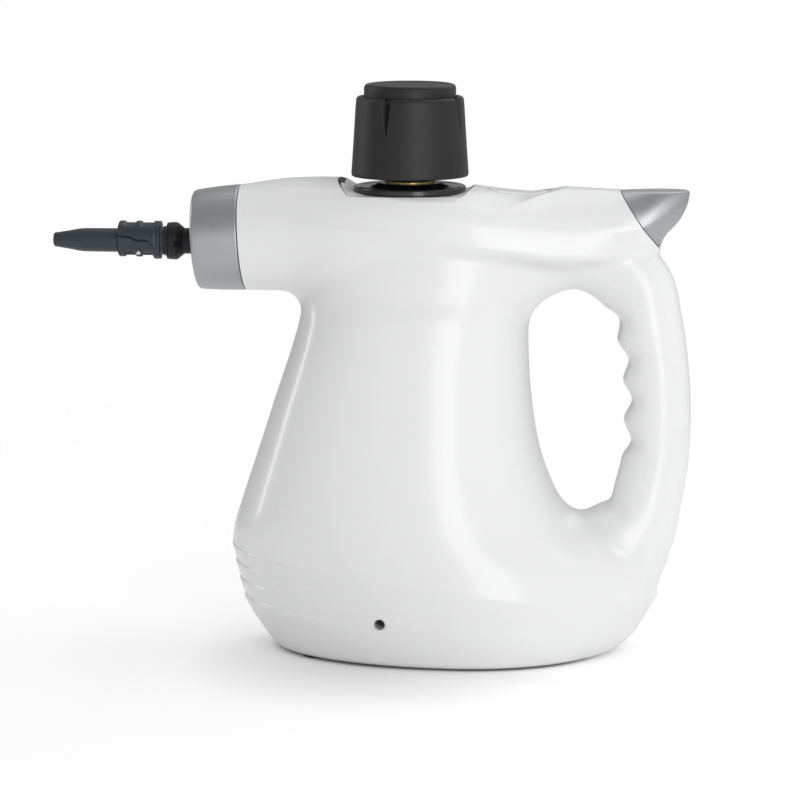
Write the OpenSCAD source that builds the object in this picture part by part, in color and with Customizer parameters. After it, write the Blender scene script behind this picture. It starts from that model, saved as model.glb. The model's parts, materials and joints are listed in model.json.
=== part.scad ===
// Handheld steam cleaner: a two-part white housing with a loop handle stands around an upright boiler.
// The nose points along -X, the handle lies towards +X and the feet stand on Z = 0.
// Lengths are millimetres. Body sections are measured from the tank axis, the upright axis of the filler.

/* [Housing] */
// Thickness of the housing walls
wall = 2.4; // [2:0.1:2.8]
// Height of the underside above the table
floor_gap = 0.8; // [0.6:0.1:1.2]
// Underside: reach to the front, reach to the back, half width
base_section = [54.5, 88, 54]; // [48:0.5:96]
// Bowl under the skirt line: front, back, half width
bowl_section = [68, 96, 57.5]; // [54:0.5:100]
// Height of the bowl section
bowl_z = 13; // [11:0.5:15]
// Skirt line, the widest section: front, back, half width
skirt_section = [75.4, 102.3, 58.5]; // [56:0.5:106]
// Height of the skirt line at the tank axis
skirt_z = 35.5; // [34:0.5:37]
// Fall of the skirt line towards the back, per millimetre of length
skirt_fall = 0.115; // [0.09:0.005:0.13]
// Rump between skirt and hip: front, back, half width
rump_section = [74, 96, 57.3]; // [54:0.5:100]
// Height of the rump section
rump_z = 46; // [45:0.5:47]
// Hip above the skirt: front, back, half width
hip_section = [71, 70, 55.5]; // [52:0.5:78]
// Height of the hip section
hip_z = 58; // [56:0.5:60]
// Waist: front, back, half width
waist_section = [57.3, 51.5, 46.5]; // [46:0.5:64]
// Height of the waist section
waist_z = 103; // [100:0.5:106]
// Throat under the barrel: front, back, half width
throat_section = [45, 49.5, 38]; // [36:0.5:56]
// Height of the throat section
throat_z = 141; // [139:0.5:143]
// Collar where the pot flares into the barrel: front, back, half width
collar_section = [50, 51.5, 34.5]; // [32:0.5:54]
// Height of the collar section
collar_z = 151; // [150:0.5:153]
// Crown inside the barrel: front, back, half width
crown_section = [54, 54, 29]; // [26:0.5:58]
// Roundness of the plan outline, 2 is an ellipse
plan_power = 2.35; // [2.2:0.05:2.6]
// Depth of the moulded steps under the front of the skirt line
step_d = 1.1; // [0.6:0.1:1.6]
// Height of one moulded step
step_pitch = 6; // [5.4:0.1:6.6]

/* [Barrel] */
// Highest line of the barrel in front of the cap
barrel_top = 198; // [197:0.1:199]
// Half width of the barrel beside the cap
barrel_half_w = 31.5; // [30.5:0.1:33]
// Height of the thumb hollow behind the cap
thumb_z = 193.6; // [193:0.1:194]
// Height of the tail's top line
tail_z = 194; // [193.6:0.1:194.4]
// Reach of the tail's tip from the tank axis
tail_reach = 116.6; // [115:0.1:117]
// Lean of the joint between barrel and tail
tail_lean = 34.2; // [32:0.1:36]
// Play at the joint of barrel and tail
tail_gap = 0.25; // [0.2:0.05:0.4]

/* [Handle] */
// Reach of the handle's back from the tank axis
handle_reach = 117.8; // [116.5:0.1:119.5]
// Depth of the grip from front to back
grip_d = 26.4; // [25:0.1:28]
// Width of the grip
grip_w = 30; // [28:0.5:33]
// Height of the middle of the grip
grip_z = 100; // [98:0.5:102]
// Depth of the finger hollows
finger_d = 2.5; // [1.5:0.1:3]
// Spacing of the finger hollows
finger_pitch = 18; // [16:0.2:19]
// Height of the lowest finger hollow
finger_z = 89; // [87:0.2:91]

/* [Nose] */
// Height of the nozzle axis
nozzle_z = 170.6; // [170:0.1:171.2]
// Distance of the ring's rear joint from the tank axis
ring_seam = 69.7; // [69:0.1:71]
// Length of the silver ring
ring_l = 20.2; // [19:0.1:21]
// Radius of the ring at its rear joint
ring_r = 22.2; // [21.8:0.1:22.6]
// Radius of the ring at the front
ring_front_r = 20.7; // [20:0.1:21.2]
// Wall of the ring
ring_wall = 1.8; // [1.5:0.1:2.1]
// Rise of the ring's axis towards the back
ring_rise = 3.6; // [3:0.1:4.2]
// Thickness of the outlet flange inside the ring
flange_t = 2.6; // [2:0.1:3]
// Radius of the bayonet head on the outlet
head_r = 8; // [7.6:0.1:8.6]
// Length of the bayonet head
head_l = 5.1; // [4.6:0.1:5.6]
// Distance of the bayonet head's front from the tank axis
head_front = 100.9; // [100:0.1:102]
// Radius of the outlet's neck
outlet_r = 4.9; // [4.5:0.1:5.2]
// Radius of the steam way
steam_r = 1.8; // [1.4:0.1:2.2]

/* [Nozzle] */
// Distance of the nozzle's tip from the tank axis
nozzle_reach = 151.4; // [148:0.1:156]
// Radius of the jet tube
jet_r = 5.1; // [4.8:0.1:5.4]
// Radius at the tip
tip_r = 2.9; // [2.5:0.1:3.3]
// Length of the tapered tip
tip_l = 11.7; // [10:0.1:14]
// Length of the locking collar
collar_l = 19.5; // [18.5:0.1:21]
// Length of the collar's neck in front of the bayonet head
collar_neck_l = 2.6; // [2:0.1:3.2]
// Wall of the collar around the jet tube
collar_wall = 2.2; // [2:0.1:2.6]
// Height of the ribs around the collar
collar_rib = 0.7; // [0.4:0.1:1]
// Radius of the two locking lugs
lug_r = 1.3; // [1:0.1:1.5]
// Turn that frees the jet tube, in degrees
jet_turn = 60; // [45:1:70]
// Way the jet tube moves out while it is turned
jet_draw = 4; // [3:0.1:5]
// Play between the jet tube and the collar
jet_play = 0.3; // [0.25:0.05:0.4]

/* [Filler] */
// Outer radius of the black dish
dish_r = 23.5; // [23:0.1:24]
// Height of the dish's seat
dish_z = 191.4; // [191:0.1:191.8]
// Thickness of the dish's rim
dish_t = 2.6; // [2:0.1:3]
// Height of the dish's hub above its seat
dish_h = 5.4; // [5:0.1:6]
// Slope of the recess around the dish, in degrees from upright
recess_slope = 36; // [30:1:40]
// Outer radius of the brass neck
neck_r = 12.5; // [12:0.1:13]
// Radius of the plug and its thread
plug_r = 9.7; // [9.2:0.1:10]
// Depth of the plug's thread
thread_d = 0.6; // [0.4:0.1:0.8]
// Spacing of the threads
thread_pitch = 3.2; // [2.8:0.1:3.6]
// Play between the plug and the neck
plug_play = 0.35; // [0.3:0.05:0.45]
// Radius of the water way under the plug
water_r = 8; // [7.4:0.1:8.4]
// Depth of the plug below the dish's seat
plug_depth = 15.4; // [14:0.1:17]
// Height of the gasket under the plug
gasket_t = 2; // [1.6:0.1:2.4]

/* [Cap] */
// Radius of the cap at its lower edge
cap_r = 24.4; // [24:0.1:25]
// Radius of the cap at its shoulder
cap_shoulder_r = 22.4; // [22.2:0.1:23]
// Height of the cap's lower edge
cap_z = 199; // [198.6:0.1:199.6]
// Height from the lower edge to the shoulder
cap_h = 33.2; // [32:0.1:34]
// Radius of the press disc
disc_r = 19.2; // [18.6:0.1:19.4]
// Height of the press disc above the shoulder
disc_h = 5.2; // [4.6:0.1:5.8]
// Wall of the cap
cap_wall = 2; // [1.8:0.1:2.2]
// Depth of the four grip notches
notch_d = 2; // [1:0.1:2.2]
// Length of the grip notches
notch_l = 14.5; // [12:0.5:16]
// Way the cap is pressed down before it drives the core
press_way = 2.5; // [2:0.1:3]
// Number of ratchet teeth
teeth = 12; // [8:1:14]
// Wire radius of the springs
wire_r = 0.6; // [0.5:0.05:0.7]

/* [Boiler] */
// Inner radius of the boiler
boiler_r = 34; // [32:0.5:34.5]
// Wall of the boiler
boiler_wall = 3; // [2.6:0.1:3.2]
// Height of the boiler's underside
boiler_z = 28; // [27:0.5:29]
// Height of the joint between the boiler halves
joint_z = 72; // [70:0.5:76]
// Height of the boiler's top plate
top_z = 118; // [116:0.5:119]
// Radius of the joint flange
flange_r = 44; // [43.5:0.1:45]
// Thickness of one flange
flange_h = 5; // [4:0.5:6]
// Thickness of the joint gasket
joint_gasket = 1; // [0.8:0.1:1.4]
// Radius of the flange bolts
bolt_r = 1.9; // [1.7:0.1:2.1]
// Number of flange bolts
bolts = 8; // [6:1:10]
// Radius of the heater tube
heater_r = 3.2; // [2.8:0.1:3.4]
// Height of the heater
heater_z = 48; // [46:0.5:52]
// Height of the boiler stand's ring
stand_h = 3.5; // [3:0.1:4]

/* [Valve and button] */
// Distance of the valve from the tank axis
valve_x = 31; // [30.5:0.1:31.4]
// Radius of the valve body
valve_r = 6; // [5.6:0.1:6]
// Height of the valve's shoulder
valve_z = 150; // [148:0.5:151]
// Radius of the valve stem
stem_r = 2; // [1.7:0.1:2.1]
// Height of the lever's underside
lever_z = 170; // [169.5:0.1:170.4]
// Thickness of the lever
lever_t = 3.6; // [3.2:0.1:3.8]
// Width of the lever
lever_w = 9; // [8:0.2:10]
// Radius of the lever's pivot pin
pin_r = 1.5; // [1.3:0.1:1.7]
// Running play of the lever on its pin
pin_play = 0.05; // [0.03:0.01:0.08]
// Distance from pivot to valve, half the distance from pivot to button
lever_arm = 14; // [13.8:0.1:14.2]
// Travel of the button
button_way = 3; // [2:0.1:3]
// Length of the button
button_l = 25; // [23:0.5:26]
// Width of the button
button_w = 15; // [14:0.5:16]
// Height of the button above the thumb hollow
button_rise = 0.2; // [0:0.1:0.4]
// Play around the button
button_play = 0.4; // [0.3:0.05:0.5]
// Wall of the button and its well
button_wall = 1.8; // [1.5:0.1:2]
// Depth of the button well
well_d = 17.4; // [17:0.1:17.6]

/* [Small parts] */
// Height of the screw well on the housing's side
screw_z = 18.8; // [18:0.1:19]
// Distance of the screw well from the tank axis, to the front
screw_x = 7; // [6:0.1:8]
// Radius of the screw well
screw_well_r = 2.25; // [2:0.05:2.4]
// Radius of the screw
screw_r = 1.3; // [1.1:0.05:1.4]
// Radius of the feet
foot_r = 6; // [5:0.1:7]
// Depth of the feet's pockets
foot_pocket = 1.2; // [1:0.1:1.4]
// Height of the cord inlet
gland_z = 19; // [18:0.5:20]
// Fall of the cord inlet, in degrees
gland_tilt = 26; // [22:1:30]
// Radius of the cord inlet's bush
gland_r = 5.2; // [4.8:0.1:5.6]
// Radius of the way for the cord
cord_r = 3.5; // [3:0.1:3.8]

/* [Hidden] */
$fn = 48;

// Small play between fixed parts
play = 0.2;
// Step that keeps cuts clear of coplanar faces
cut = 0.5;
// Part origin: the middle of the whole length
tank_x = (nozzle_reach - handle_reach) / 2;
inner_floor = floor_gap + wall;
pot_sides = 40;
crown_z = barrel_top - 26;

// Rows of the pot: height, front reach, back reach, half width, fall per millimetre
pot_rows = [
    concat(floor_gap, base_section, 0),
    concat(bowl_z, bowl_section, skirt_fall / 2),
    concat(skirt_z, skirt_section, skirt_fall),
    concat(rump_z, rump_section, skirt_fall * 0.8),
    concat(hip_z, hip_section, skirt_fall / 2),
    concat(waist_z, waist_section, 0),
    concat(throat_z, throat_section, 0),
    concat(collar_z, collar_section, 0),
    concat(crown_z, crown_section, 0)
];

// Levels at which the pot's sections are drawn
low_levels = [floor_gap, 6, 10, 13, 16];
step_levels = [for (k = [3:-1:0]) each [skirt_z - (k + 1) * step_pitch + 0.9, skirt_z - k * step_pitch]];
upper_levels = [40, 46, 52, 58, 66, 76, 88, 103, 116, 128, 135, 141, 150, 160];

// Rows of the barrel: place along X, top, underside, half width
tail_l = 28.6;
tail_x = tail_reach - tail_l;
nose_mid = nozzle_z + 1;
barrel_rows = [
    [-ring_seam - ring_l - 2, nose_mid - 0.7 + ring_front_r, nose_mid - 0.7 - ring_front_r,
        ring_front_r - 0.2],
    [-ring_seam, nose_mid + ring_r + 1, nose_mid - ring_r + 1, ring_r],
    [-50, barrel_top - 0.4, 150.4, barrel_half_w - 6.8],
    [-27, barrel_top, 153, barrel_half_w - 2.8],
    [0, barrel_top - 0.5, 164, barrel_half_w],
    [28, thumb_z + 2, 164, barrel_half_w - 1.5],
    [50, thumb_z, 164, barrel_half_w - 6],
    [64, thumb_z + 1.1, 163.5, barrel_half_w - 9],
    [tail_x, tail_z - 0.2, 166, 18],
    [tail_reach - 12, tail_z, 170.5, 13.5],
    [tail_reach - 5.6, tail_z, 180, 10.5],
    [tail_reach - 1.6, tail_z, 187, 7.5],
    [tail_reach, tail_z, tail_z - 2.6, 5]
];
barrel_power = 2.35;

// Rows of the handle: station, X, Z, half depth, half width
grip_x = handle_reach - grip_d / 2;
handle_rows = [
    [0, 47, 163, grip_d / 2 + 1.3, grip_w / 2 - 1],
    [1, 73, 167, grip_d / 2 + 1.8, grip_w / 2],
    [2, 93, 156, grip_d / 2 + 2.3, grip_w / 2 + 0.5],
    [3, grip_x - 4.1, grip_z + 38, grip_d / 2 + 0.4, grip_w / 2 + 0.5],
    [4, grip_x - 0.8, grip_z + 18, grip_d / 2 - 0.1, grip_w / 2],
    [5, grip_x, grip_z, grip_d / 2, grip_w / 2],
    [6, grip_x - 1, grip_z - 20, grip_d / 2 + 0.1, grip_w / 2 + 0.5],
    [7, grip_x - 4.3, grip_z - 37.5, grip_d / 2 + 0.7, grip_w / 2 + 2.5],
    [8, grip_x - 15, grip_z - 52.2, grip_d / 2 + 8, grip_w / 2 + 7],
    [9, grip_x - 32.6, grip_z - 75, grip_d / 2 + 7, grip_w / 2 + 9]
];
fingers = 4;

// Nose
collar_front = head_front + collar_neck_l + collar_l;
tail_r = jet_r - 0.2;
collar_r = tail_r + jet_play + collar_wall;
jet_tail = head_front + collar_neck_l + 3.6;
lug_at = jet_tail + 6.4;
spigot_r = outlet_r + 1;
ring_in = ring_front_r - ring_wall;
spigot_l = ring_l - 3 - flange_t - 2 * play;

// Filler and cap
neck_bore = plug_r + plug_play;
neck_top = dish_z + 2;
seat_z = dish_z - plug_depth - gasket_t;
core_z = cap_z + 4;
core_t = 3;
core_r = cap_shoulder_r - cap_wall - play;
lip_r = core_r - 1.2;
shoulder_z = cap_z + cap_h;
plate_t = 2;
plate_z = shoulder_z - 2.8 - plate_t;
tooth_h = 1.6;
ratchet_z = core_z + core_t + tooth_h + press_way + 0.3;
cavity_r = cap_shoulder_r - cap_wall;
relief_r = 3.2;
relief_bore = relief_r + 0.3;
relief_z = seat_z + gasket_t + 4;

// Boiler
boiler_out = boiler_r + boiler_wall;
bolt_ring = (boiler_out + flange_r) / 2;
floor_t = 6;
neck_seat = top_z + 8;
heater_ring = boiler_out + heater_r + 0.3;
heater_open = 30;

// Valve and button
pivot_x = valve_x - lever_arm;
button_x = pivot_x + 2 * lever_arm;
stem_top = lever_z - 0.3;
stem_way = button_way / 2;
lever_top = lever_z + lever_t;
button_top = thumb_z + button_rise;
well_floor = thumb_z - well_d;
well_l = button_l + 2 * (button_play + button_wall);
well_w = button_w + 2 * (button_play + button_wall);
well_rim = thumb_z - 0.4;
pipe_r = 3;
pipe_z = valve_z - 6;
valve_out = 11;
ear_in = lever_w / 2 + 0.4;

// Feet and cord inlet
foot_places = [[-36, -28], [-36, 28], [62, -28], [62, 28]];
gland_x = skirt_section[1] - 2.3;
gland_in = 9;

// Parts of the model that can be built one by one

// Smooth curve through the rows of a table, read at t from column c
function row_at(rows, t, i = 0) = i >= len(rows) - 2 || t < rows[i + 1][0] ? i : row_at(rows, t, i + 1);
function row_slope(rows, i, c) =
    let (a = max(i - 1, 0), b = min(i + 1, len(rows) - 1))
    (rows[b][c] - rows[a][c]) / (rows[b][0] - rows[a][0]);
function smooth(rows, t, c) =
    let (
        i = row_at(rows, t),
        h = rows[i + 1][0] - rows[i][0],
        s = (t - rows[i][0]) / h,
        start = rows[i][c] * (1 + 2 * s) + row_slope(rows, i, c) * h * s,
        end = rows[i + 1][c] * (3 - 2 * s) + row_slope(rows, i + 1, c) * h * (s - 1)
    )
    start * pow(1 - s, 2) + end * s * s;
function power(v, p) = sign(v) * pow(abs(v), p);

// Moulded steps below the skirt line, only around the front
function step_fade(c) = c < -0.3 ? pow(sin(90 * min(1, (-c - 0.3) / 0.35)), 2) : 0;
function step_out(z) =
    let (u = (skirt_z - z) / step_pitch)
    z > skirt_z || u > 3.999 ? 0 : step_d * (u - floor(u) - 0.5);

// One level section of the pot; the level leans with the skirt line
function pot_ring(z, inset, sides) = [
    for (i = [0:sides - 1])
        let (
            a = 360 * i / sides,
            c = cos(a),
            grow = (inset > 0 ? 0 : step_out(z) * step_fade(c)) - inset,
            long = smooth(pot_rows, z, c < 0 ? 1 : 2) + grow,
            x = power(c, 2 / plan_power) * long,
            y = power(sin(a), 2 / plan_power) * (smooth(pot_rows, z, 3) + grow)
        )
        [x, y, z - smooth(pot_rows, z, 4) * x]
];

// One upright section of the barrel
function barrel_ring(x, inset, sides) =
    let (
        top = smooth(barrel_rows, x, 1) - inset,
        low = smooth(barrel_rows, x, 2) + inset,
        half = smooth(barrel_rows, x, 3) - inset
    )
    [
        for (i = [0:sides - 1])
            let (a = 360 * i / sides)
            [x, power(cos(a), 2 / barrel_power) * half,
                (top + low) / 2 + power(sin(a), 2 / barrel_power) * (top - low) / 2]
    ];

// Depth of the finger hollows at a height on the inner side of the grip
function finger_at(z) =
    let (u = (z - finger_z) / finger_pitch)
    u < -0.5 || u > fingers - 0.5 ? 0 : finger_d * pow(cos(180 * u), 2);

// One section across the handle's curved middle line
function handle_ring(t, inset, sides) =
    let (
        x = smooth(handle_rows, t, 1),
        z = smooth(handle_rows, t, 2),
        dx = smooth(handle_rows, t + 0.01, 1) - smooth(handle_rows, t - 0.01, 1),
        dz = smooth(handle_rows, t + 0.01, 2) - smooth(handle_rows, t - 0.01, 2),
        n = [-dz, dx] / norm([dx, dz]),
        deep = smooth(handle_rows, t, 3) - inset,
        half = smooth(handle_rows, t, 4) - inset
    )
    [
        for (i = [0:sides - 1])
            let (
                a = 360 * i / sides,
                hollow = inset > 0 ? 0 : finger_at(z) * pow(max(0, -cos(a)), 1.5),
                r = power(cos(a), 0.9) * deep + hollow
            )
            [x + n[0] * r, -power(sin(a), 0.9) * half, z + n[1] * r]
    ];

// Closed skin over a row of sections
module loft(rings) {
    n = len(rings[0]);
    m = len(rings);
    skin = [
        for (i = [0:m - 2])
            for (j = [0:n - 1])
                let (k = (j + 1) % n)
                each [
                    [i * n + j, (i + 1) * n + j, (i + 1) * n + k],
                    [i * n + j, (i + 1) * n + k, i * n + k]
                ]
    ];
    ends = [[for (j = [0:n - 1]) j], [for (j = [n - 1:-1:0]) (m - 1) * n + j]];
    polyhedron(points = [for (r = rings) each r], faces = concat(ends, skin));
}

// Tube of round rings along a row of points, with its bore
module tube_along(path, outer, inner, sides) {
    m = len(path);
    ring = [
        for (i = [0:m - 1])
            let (
                d = path[min(i + 1, m - 1)] - path[max(i - 1, 0)],
                w = d / norm(d),
                u0 = cross(w, [0.13, 0.2, 0.97]),
                u = u0 / norm(u0),
                v = cross(w, u)
            )
            for (r = [outer, inner])
                for (j = [0:sides - 1])
                    let (a = 360 * j / sides)
                    path[i] + r * (cos(a) * u + sin(a) * v)
    ];
    s = 2 * sides;
    skin = [
        for (i = [0:m - 2])
            for (j = [0:sides - 1])
                let (k = (j + 1) % sides, o = i * s, p = o + s)
                each [
                    [o + j, p + j, p + k],
                    [o + j, p + k, o + k],
                    [o + sides + j, p + sides + k, p + sides + j],
                    [o + sides + j, o + sides + k, p + sides + k]
                ]
    ];
    ends = [
        for (j = [0:sides - 1])
            let (k = (j + 1) % sides, o = (m - 1) * s)
            each [
                [j, k, sides + k],
                [j, sides + k, sides + j],
                [o + j, o + sides + k, o + k],
                [o + j, o + sides + j, o + sides + k]
            ]
    ];
    polyhedron(points = ring, faces = concat(skin, ends));
}

// Solid round rod along a row of points
module rod_along(path, radius, sides) {
    m = len(path);
    rings = [
        for (i = [0:m - 1])
            let (
                d = path[min(i + 1, m - 1)] - path[max(i - 1, 0)],
                w = d / norm(d),
                u0 = cross(w, [0.13, 0.2, 0.97]),
                u = u0 / norm(u0),
                v = cross(w, u)
            )
            [
                for (j = [0:sides - 1])
                    let (a = 360 * j / sides)
                    path[i] + radius * (cos(a) * u + sin(a) * v)
            ]
    ];
    loft(rings);
}

// Coil spring standing on Z = 0
module coil(radius, height, turns) {
    steps = turns * 8;
    rise = height - 2 * wire_r;
    rings = [
        for (i = [0:steps])
            let (a = 45 * i, z = wire_r + rise * i / steps)
            [
                for (j = [0:5])
                    let (b = 60 * j, r = radius + wire_r * cos(b))
                    [r * cos(a), r * sin(a), z - wire_r * sin(b)]
            ]
    ];
    loft(rings);
}

// Smooth path through points given one per row
function path_through(points, steps) =
    let (rows = [for (i = [0:len(points) - 1]) concat(i, points[i])], last = len(points) - 1)
    [
        for (i = [0:steps])
            let (t = last * i / steps)
            [smooth(rows, t, 1), smooth(rows, t, 2), smooth(rows, t, 3)]
    ];

// Frames: the part's origin, the nozzle axis and the ring's leaning axis
module at_tank() {
    translate([tank_x, 0, 0]) children();
}
module at_nozzle() {
    translate([0, 0, nozzle_z]) rotate([0, -90, 0]) children();
}
module at_ring() {
    translate([-ring_seam, 0, nose_mid + 1]) rotate([0, -90 - ring_rise, 0]) children();
}

// Leaning axis of the cord inlet
module at_gland() {
    translate([gland_x, 0, gland_z]) rotate([0, 90 + gland_tilt, 0]) children();
}

// Everything behind the leaning joint of the tail
module behind_tail(gap) {
    translate([tail_x, 0, tail_z]) rotate([0, -tail_lean, 0])
        translate([gap, -60, -80]) cube([120, 120, 200]);
}

// Everything in front of the ring's joint
module before_ring() {
    at_ring() translate([-60, -60, 0]) cube([120, 120, 80]);
}

// Housing skin, or its hollow when inset
module housing() {
    low = [for (z = low_levels) if (z < step_levels[0] - 1) z];
    levels = concat(low, step_levels, upper_levels, crown_z);
    loft([for (z = levels) pot_ring(z, 0, pot_sides)]);
    stations = [-ring_seam - 2, -60, -50, -38, -27, -14, 0, 14, 28, 39, 50, 57, 64, 76];
    ends = [tail_x, tail_x + (tail_l - 12) / 2, tail_reach - 12];
    loft([for (x = concat(stations, ends)) barrel_ring(x, 0, 36)]);
    loft([for (i = [0:44]) handle_ring(i * 9 / 44, 0, 20)]);
}
module hollow() {
    levels = [13, 24, skirt_z, 46, 58, 76, 103, 120, 141, 158, crown_z + 6];
    loft([
        [for (p = pot_ring(inner_floor, wall, 28)) [p[0], p[1], inner_floor]],
        for (z = levels)
            [for (p = pot_ring(min(z, crown_z), wall, 28)) p + [0, 0, max(0, z - crown_z)]]
    ]);
    places = [-64, -50, -27, 0, 28, 50, 64, tail_x, tail_x + (tail_l - 10) / 2, tail_reach - 10];
    loft([for (x = places) barrel_ring(x, wall, 28)]);
    loft([for (i = [0:18]) handle_ring(0.4 + i * 8.4 / 18, wall + finger_d, 16)]);
}

// One half of the housing; side is -1 for the near half and 1 for the far half
module half_shell(side) {
    difference() {
        intersection() {
            union() {
                difference() {
                    housing();
                    before_ring();
                    behind_tail(0);
                }
                at_ring() translate([0, 0, -3])
                    cylinder(r1 = ring_r - ring_wall - play, r2 = ring_in - play, h = 3 + spigot_l);
            }
            translate([-200, side > 0 ? 0 : -100, 0]) cube([400, 100, 260]);
        }
        difference() {
            hollow();
            translate([0, 0, dish_z - 2.4]) cylinder(r = dish_r + 6, h = 30);
            translate([-screw_x, 0, screw_z]) rotate([90, 0, 0]) cylinder(r = 4.4, h = 160, center = true);
        }
        at_ring() translate([0, 0, -14]) cylinder(r = ring_in - play - 2, h = 50);
        filler_cut();
        well_cut(play);
        at_gland() translate([0, 0, -14]) cylinder(r = gland_r + play, h = 40);
        screw_cut(side);
        for (p = foot_places)
            translate([p[0], p[1], -cut]) cylinder(r = foot_r + play, h = floor_gap + foot_pocket + cut);
    }
}

// Recess for the dish with the way for the neck
module filler_cut() {
    depth = 20;
    translate([0, 0, dish_z])
        cylinder(r1 = dish_r + play, r2 = dish_r + play + depth * tan(recess_slope), h = depth);
    translate([0, 0, dish_z - 10]) cylinder(r = neck_r + play, h = 12);
}

// Screw well, clearance hole and pilot hole across the two halves
module screw_cut(side) {
    translate([-screw_x, 0, screw_z]) rotate([90, 0, 0]) {
        if (side < 0) {
            translate([0, 0, 12]) cylinder(r = screw_well_r, h = 80);
            translate([0, 0, -cut]) cylinder(r = screw_r + play, h = 20);
        }
        if (side > 0) {
            translate([0, 0, -12]) cylinder(r = screw_r + 0.05, h = 12 + cut);
        }
    }
}

// Long rounded outline used by the button and its well
module slot(l, w, h) {
    for (s = [-1, 1])
        translate([s * (l - w) / 2, 0, 0]) cylinder(r = w / 2, h = h);
    translate([-(l - w) / 2, -w / 2, 0]) cube([l - w, w, h]);
}
module well_cut(gap) {
    translate([button_x, 0, well_floor + 8]) slot(well_l + 2 * gap, well_w + 2 * gap, 40);
}

module left_shell() {
    color([0.93, 0.94, 0.95]) at_tank() half_shell(-1);
}

module right_shell() {
    color([0.93, 0.94, 0.95]) at_tank() half_shell(1);
}

// Silver ring with its front wall and the way for the outlet
module nose_ring() {
    color([0.66, 0.68, 0.7]) at_tank() difference() {
        at_ring() difference() {
            union() {
                translate([0, 0, play])
                    cylinder(r1 = ring_r, r2 = ring_front_r + 0.1, h = ring_l - 1.2 - play);
                translate([0, 0, ring_l - 1.2])
                    cylinder(r1 = ring_front_r + 0.1, r2 = ring_front_r - 1, h = 1.2);
            }
            translate([0, 0, -1])
                cylinder(r1 = ring_r - ring_wall + 0.1, r2 = ring_in, h = ring_l - 2);
        }
        at_nozzle() translate([0, 0, ring_seam]) cylinder(r = head_r + play, h = ring_l + 10);
    }
}

// Silver tail, a hollow cover with a tongue that reaches into the barrel
module rear_trim() {
    shares = [-0.14, 0.14, 0.35, 0.49, 0.59, 0.7, 0.8, 0.89, 0.96, 1];
    color([0.66, 0.68, 0.7]) at_tank() {
        difference() {
            intersection() {
                loft([for (s = shares) barrel_ring(tail_x + tail_l * s, 0, 36)]);
                behind_tail(tail_gap);
            }
            loft([for (s = [-0.28, 0.14, 0.42, 0.59, 0.73, 0.83]) barrel_ring(tail_x + tail_l * s, 2, 24)]);
        }
        translate([tail_x - 2, -4, tail_z - 13]) cube([tail_l * 0.7, 8, 3]);
        translate([tail_x - 5 + tail_l * 0.7, -4, tail_z - 13]) cube([3, 8, 12]);
    }
}

// Black outlet: flange behind the ring, neck and bayonet head with its socket
module outlet_connector() {
    rear = 60;
    color([0.06, 0.06, 0.07]) at_tank() difference() {
        union() {
            at_ring() translate([0, 0, spigot_l + play]) cylinder(r = ring_in - 0.6, h = flange_t);
            at_nozzle() {
                translate([0, 0, rear]) cylinder(r = outlet_r - 0.4, h = ring_seam + spigot_l - rear + 2);
                translate([0, 0, ring_seam + spigot_l])
                    cylinder(r = outlet_r, h = head_front - head_l - ring_seam - spigot_l + 1);
                translate([0, 0, head_front - head_l])
                    cylinder(r1 = outlet_r + 0.6, r2 = head_r, h = head_l * 0.35);
                translate([0, 0, head_front - head_l * 0.65]) cylinder(r = head_r, h = head_l * 0.65);
            }
        }
        at_nozzle() {
            translate([0, 0, rear - cut]) cylinder(r = steam_r, h = 80);
            translate([0, 0, head_front - 4]) cylinder(r = spigot_r + play, h = 10);
            for (s = [0, 180])
                rotate([0, 0, s + 90]) translate([head_r - 1.2, -0.6, head_front - head_l])
                    cube([4, 1.2, 20]);
        }
    }
}

// Dark grey locking collar with ribs and the curved slots for the lugs
module nozzle_collar() {
    back = head_front + collar_neck_l;
    color([0.2, 0.22, 0.23]) at_tank() at_nozzle() difference() {
        union() {
            translate([0, 0, head_front - 3.8]) cylinder(r = spigot_r, h = 3.8 + collar_neck_l + 1);
            translate([0, 0, head_front]) cylinder(r = head_r - 1.4, h = collar_neck_l + 1);
            translate([0, 0, back]) cylinder(r = collar_r, h = collar_l);
            for (z = [back, back + collar_l / 2 - 1, back + collar_l - 1.8])
                translate([0, 0, z]) cylinder(r = collar_r + collar_rib, h = 1.8);
        }
        translate([0, 0, head_front - 10]) cylinder(r = steam_r, h = 60);
        translate([0, 0, jet_tail - 1.8]) cylinder(r = tail_r + jet_play, h = 60);
        for (s = [0, 180], i = [0:6])
            rotate([0, 0, s + jet_turn * i / 6]) translate([0, 0, lug_at + jet_draw * i / 6])
                rotate([0, 90, 0]) cylinder(r = lug_r + 0.45, h = 20, $fn = 24);
    }
}

// Jet tube with its tapered tip, steam way and two lugs
module jet_nozzle() {
    straight = nozzle_reach - tip_l;
    free = collar_front + 0.3;
    color([0.2, 0.22, 0.23]) at_tank() at_nozzle() {
        rotate_extrude()
            polygon([
                [steam_r, jet_tail], [tail_r, jet_tail], [tail_r, free], [jet_r, free], [jet_r, straight],
                [tip_r + 0.3, nozzle_reach - 0.6],
                [tip_r - 0.3, nozzle_reach], [steam_r * 0.6, nozzle_reach],
                [steam_r * 0.6, straight], [steam_r, straight]
            ]);
        for (s = [0, 180])
            rotate([0, 0, s]) translate([jet_r - 1, 0, lug_at]) rotate([0, 90, 0])
                cylinder(r = lug_r, h = jet_play + collar_wall + 0.8, $fn = 24);
    }
}

// Seal between the jet tube's end and the collar
module jet_seal() {
    color([0.5, 0.12, 0.08]) at_tank() at_nozzle() translate([0, 0, jet_tail - 1.6]) difference() {
        cylinder(r = tail_r - 0.1, h = 1.4);
        translate([0, 0, -1]) cylinder(r = steam_r, h = 4);
    }
}

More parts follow.
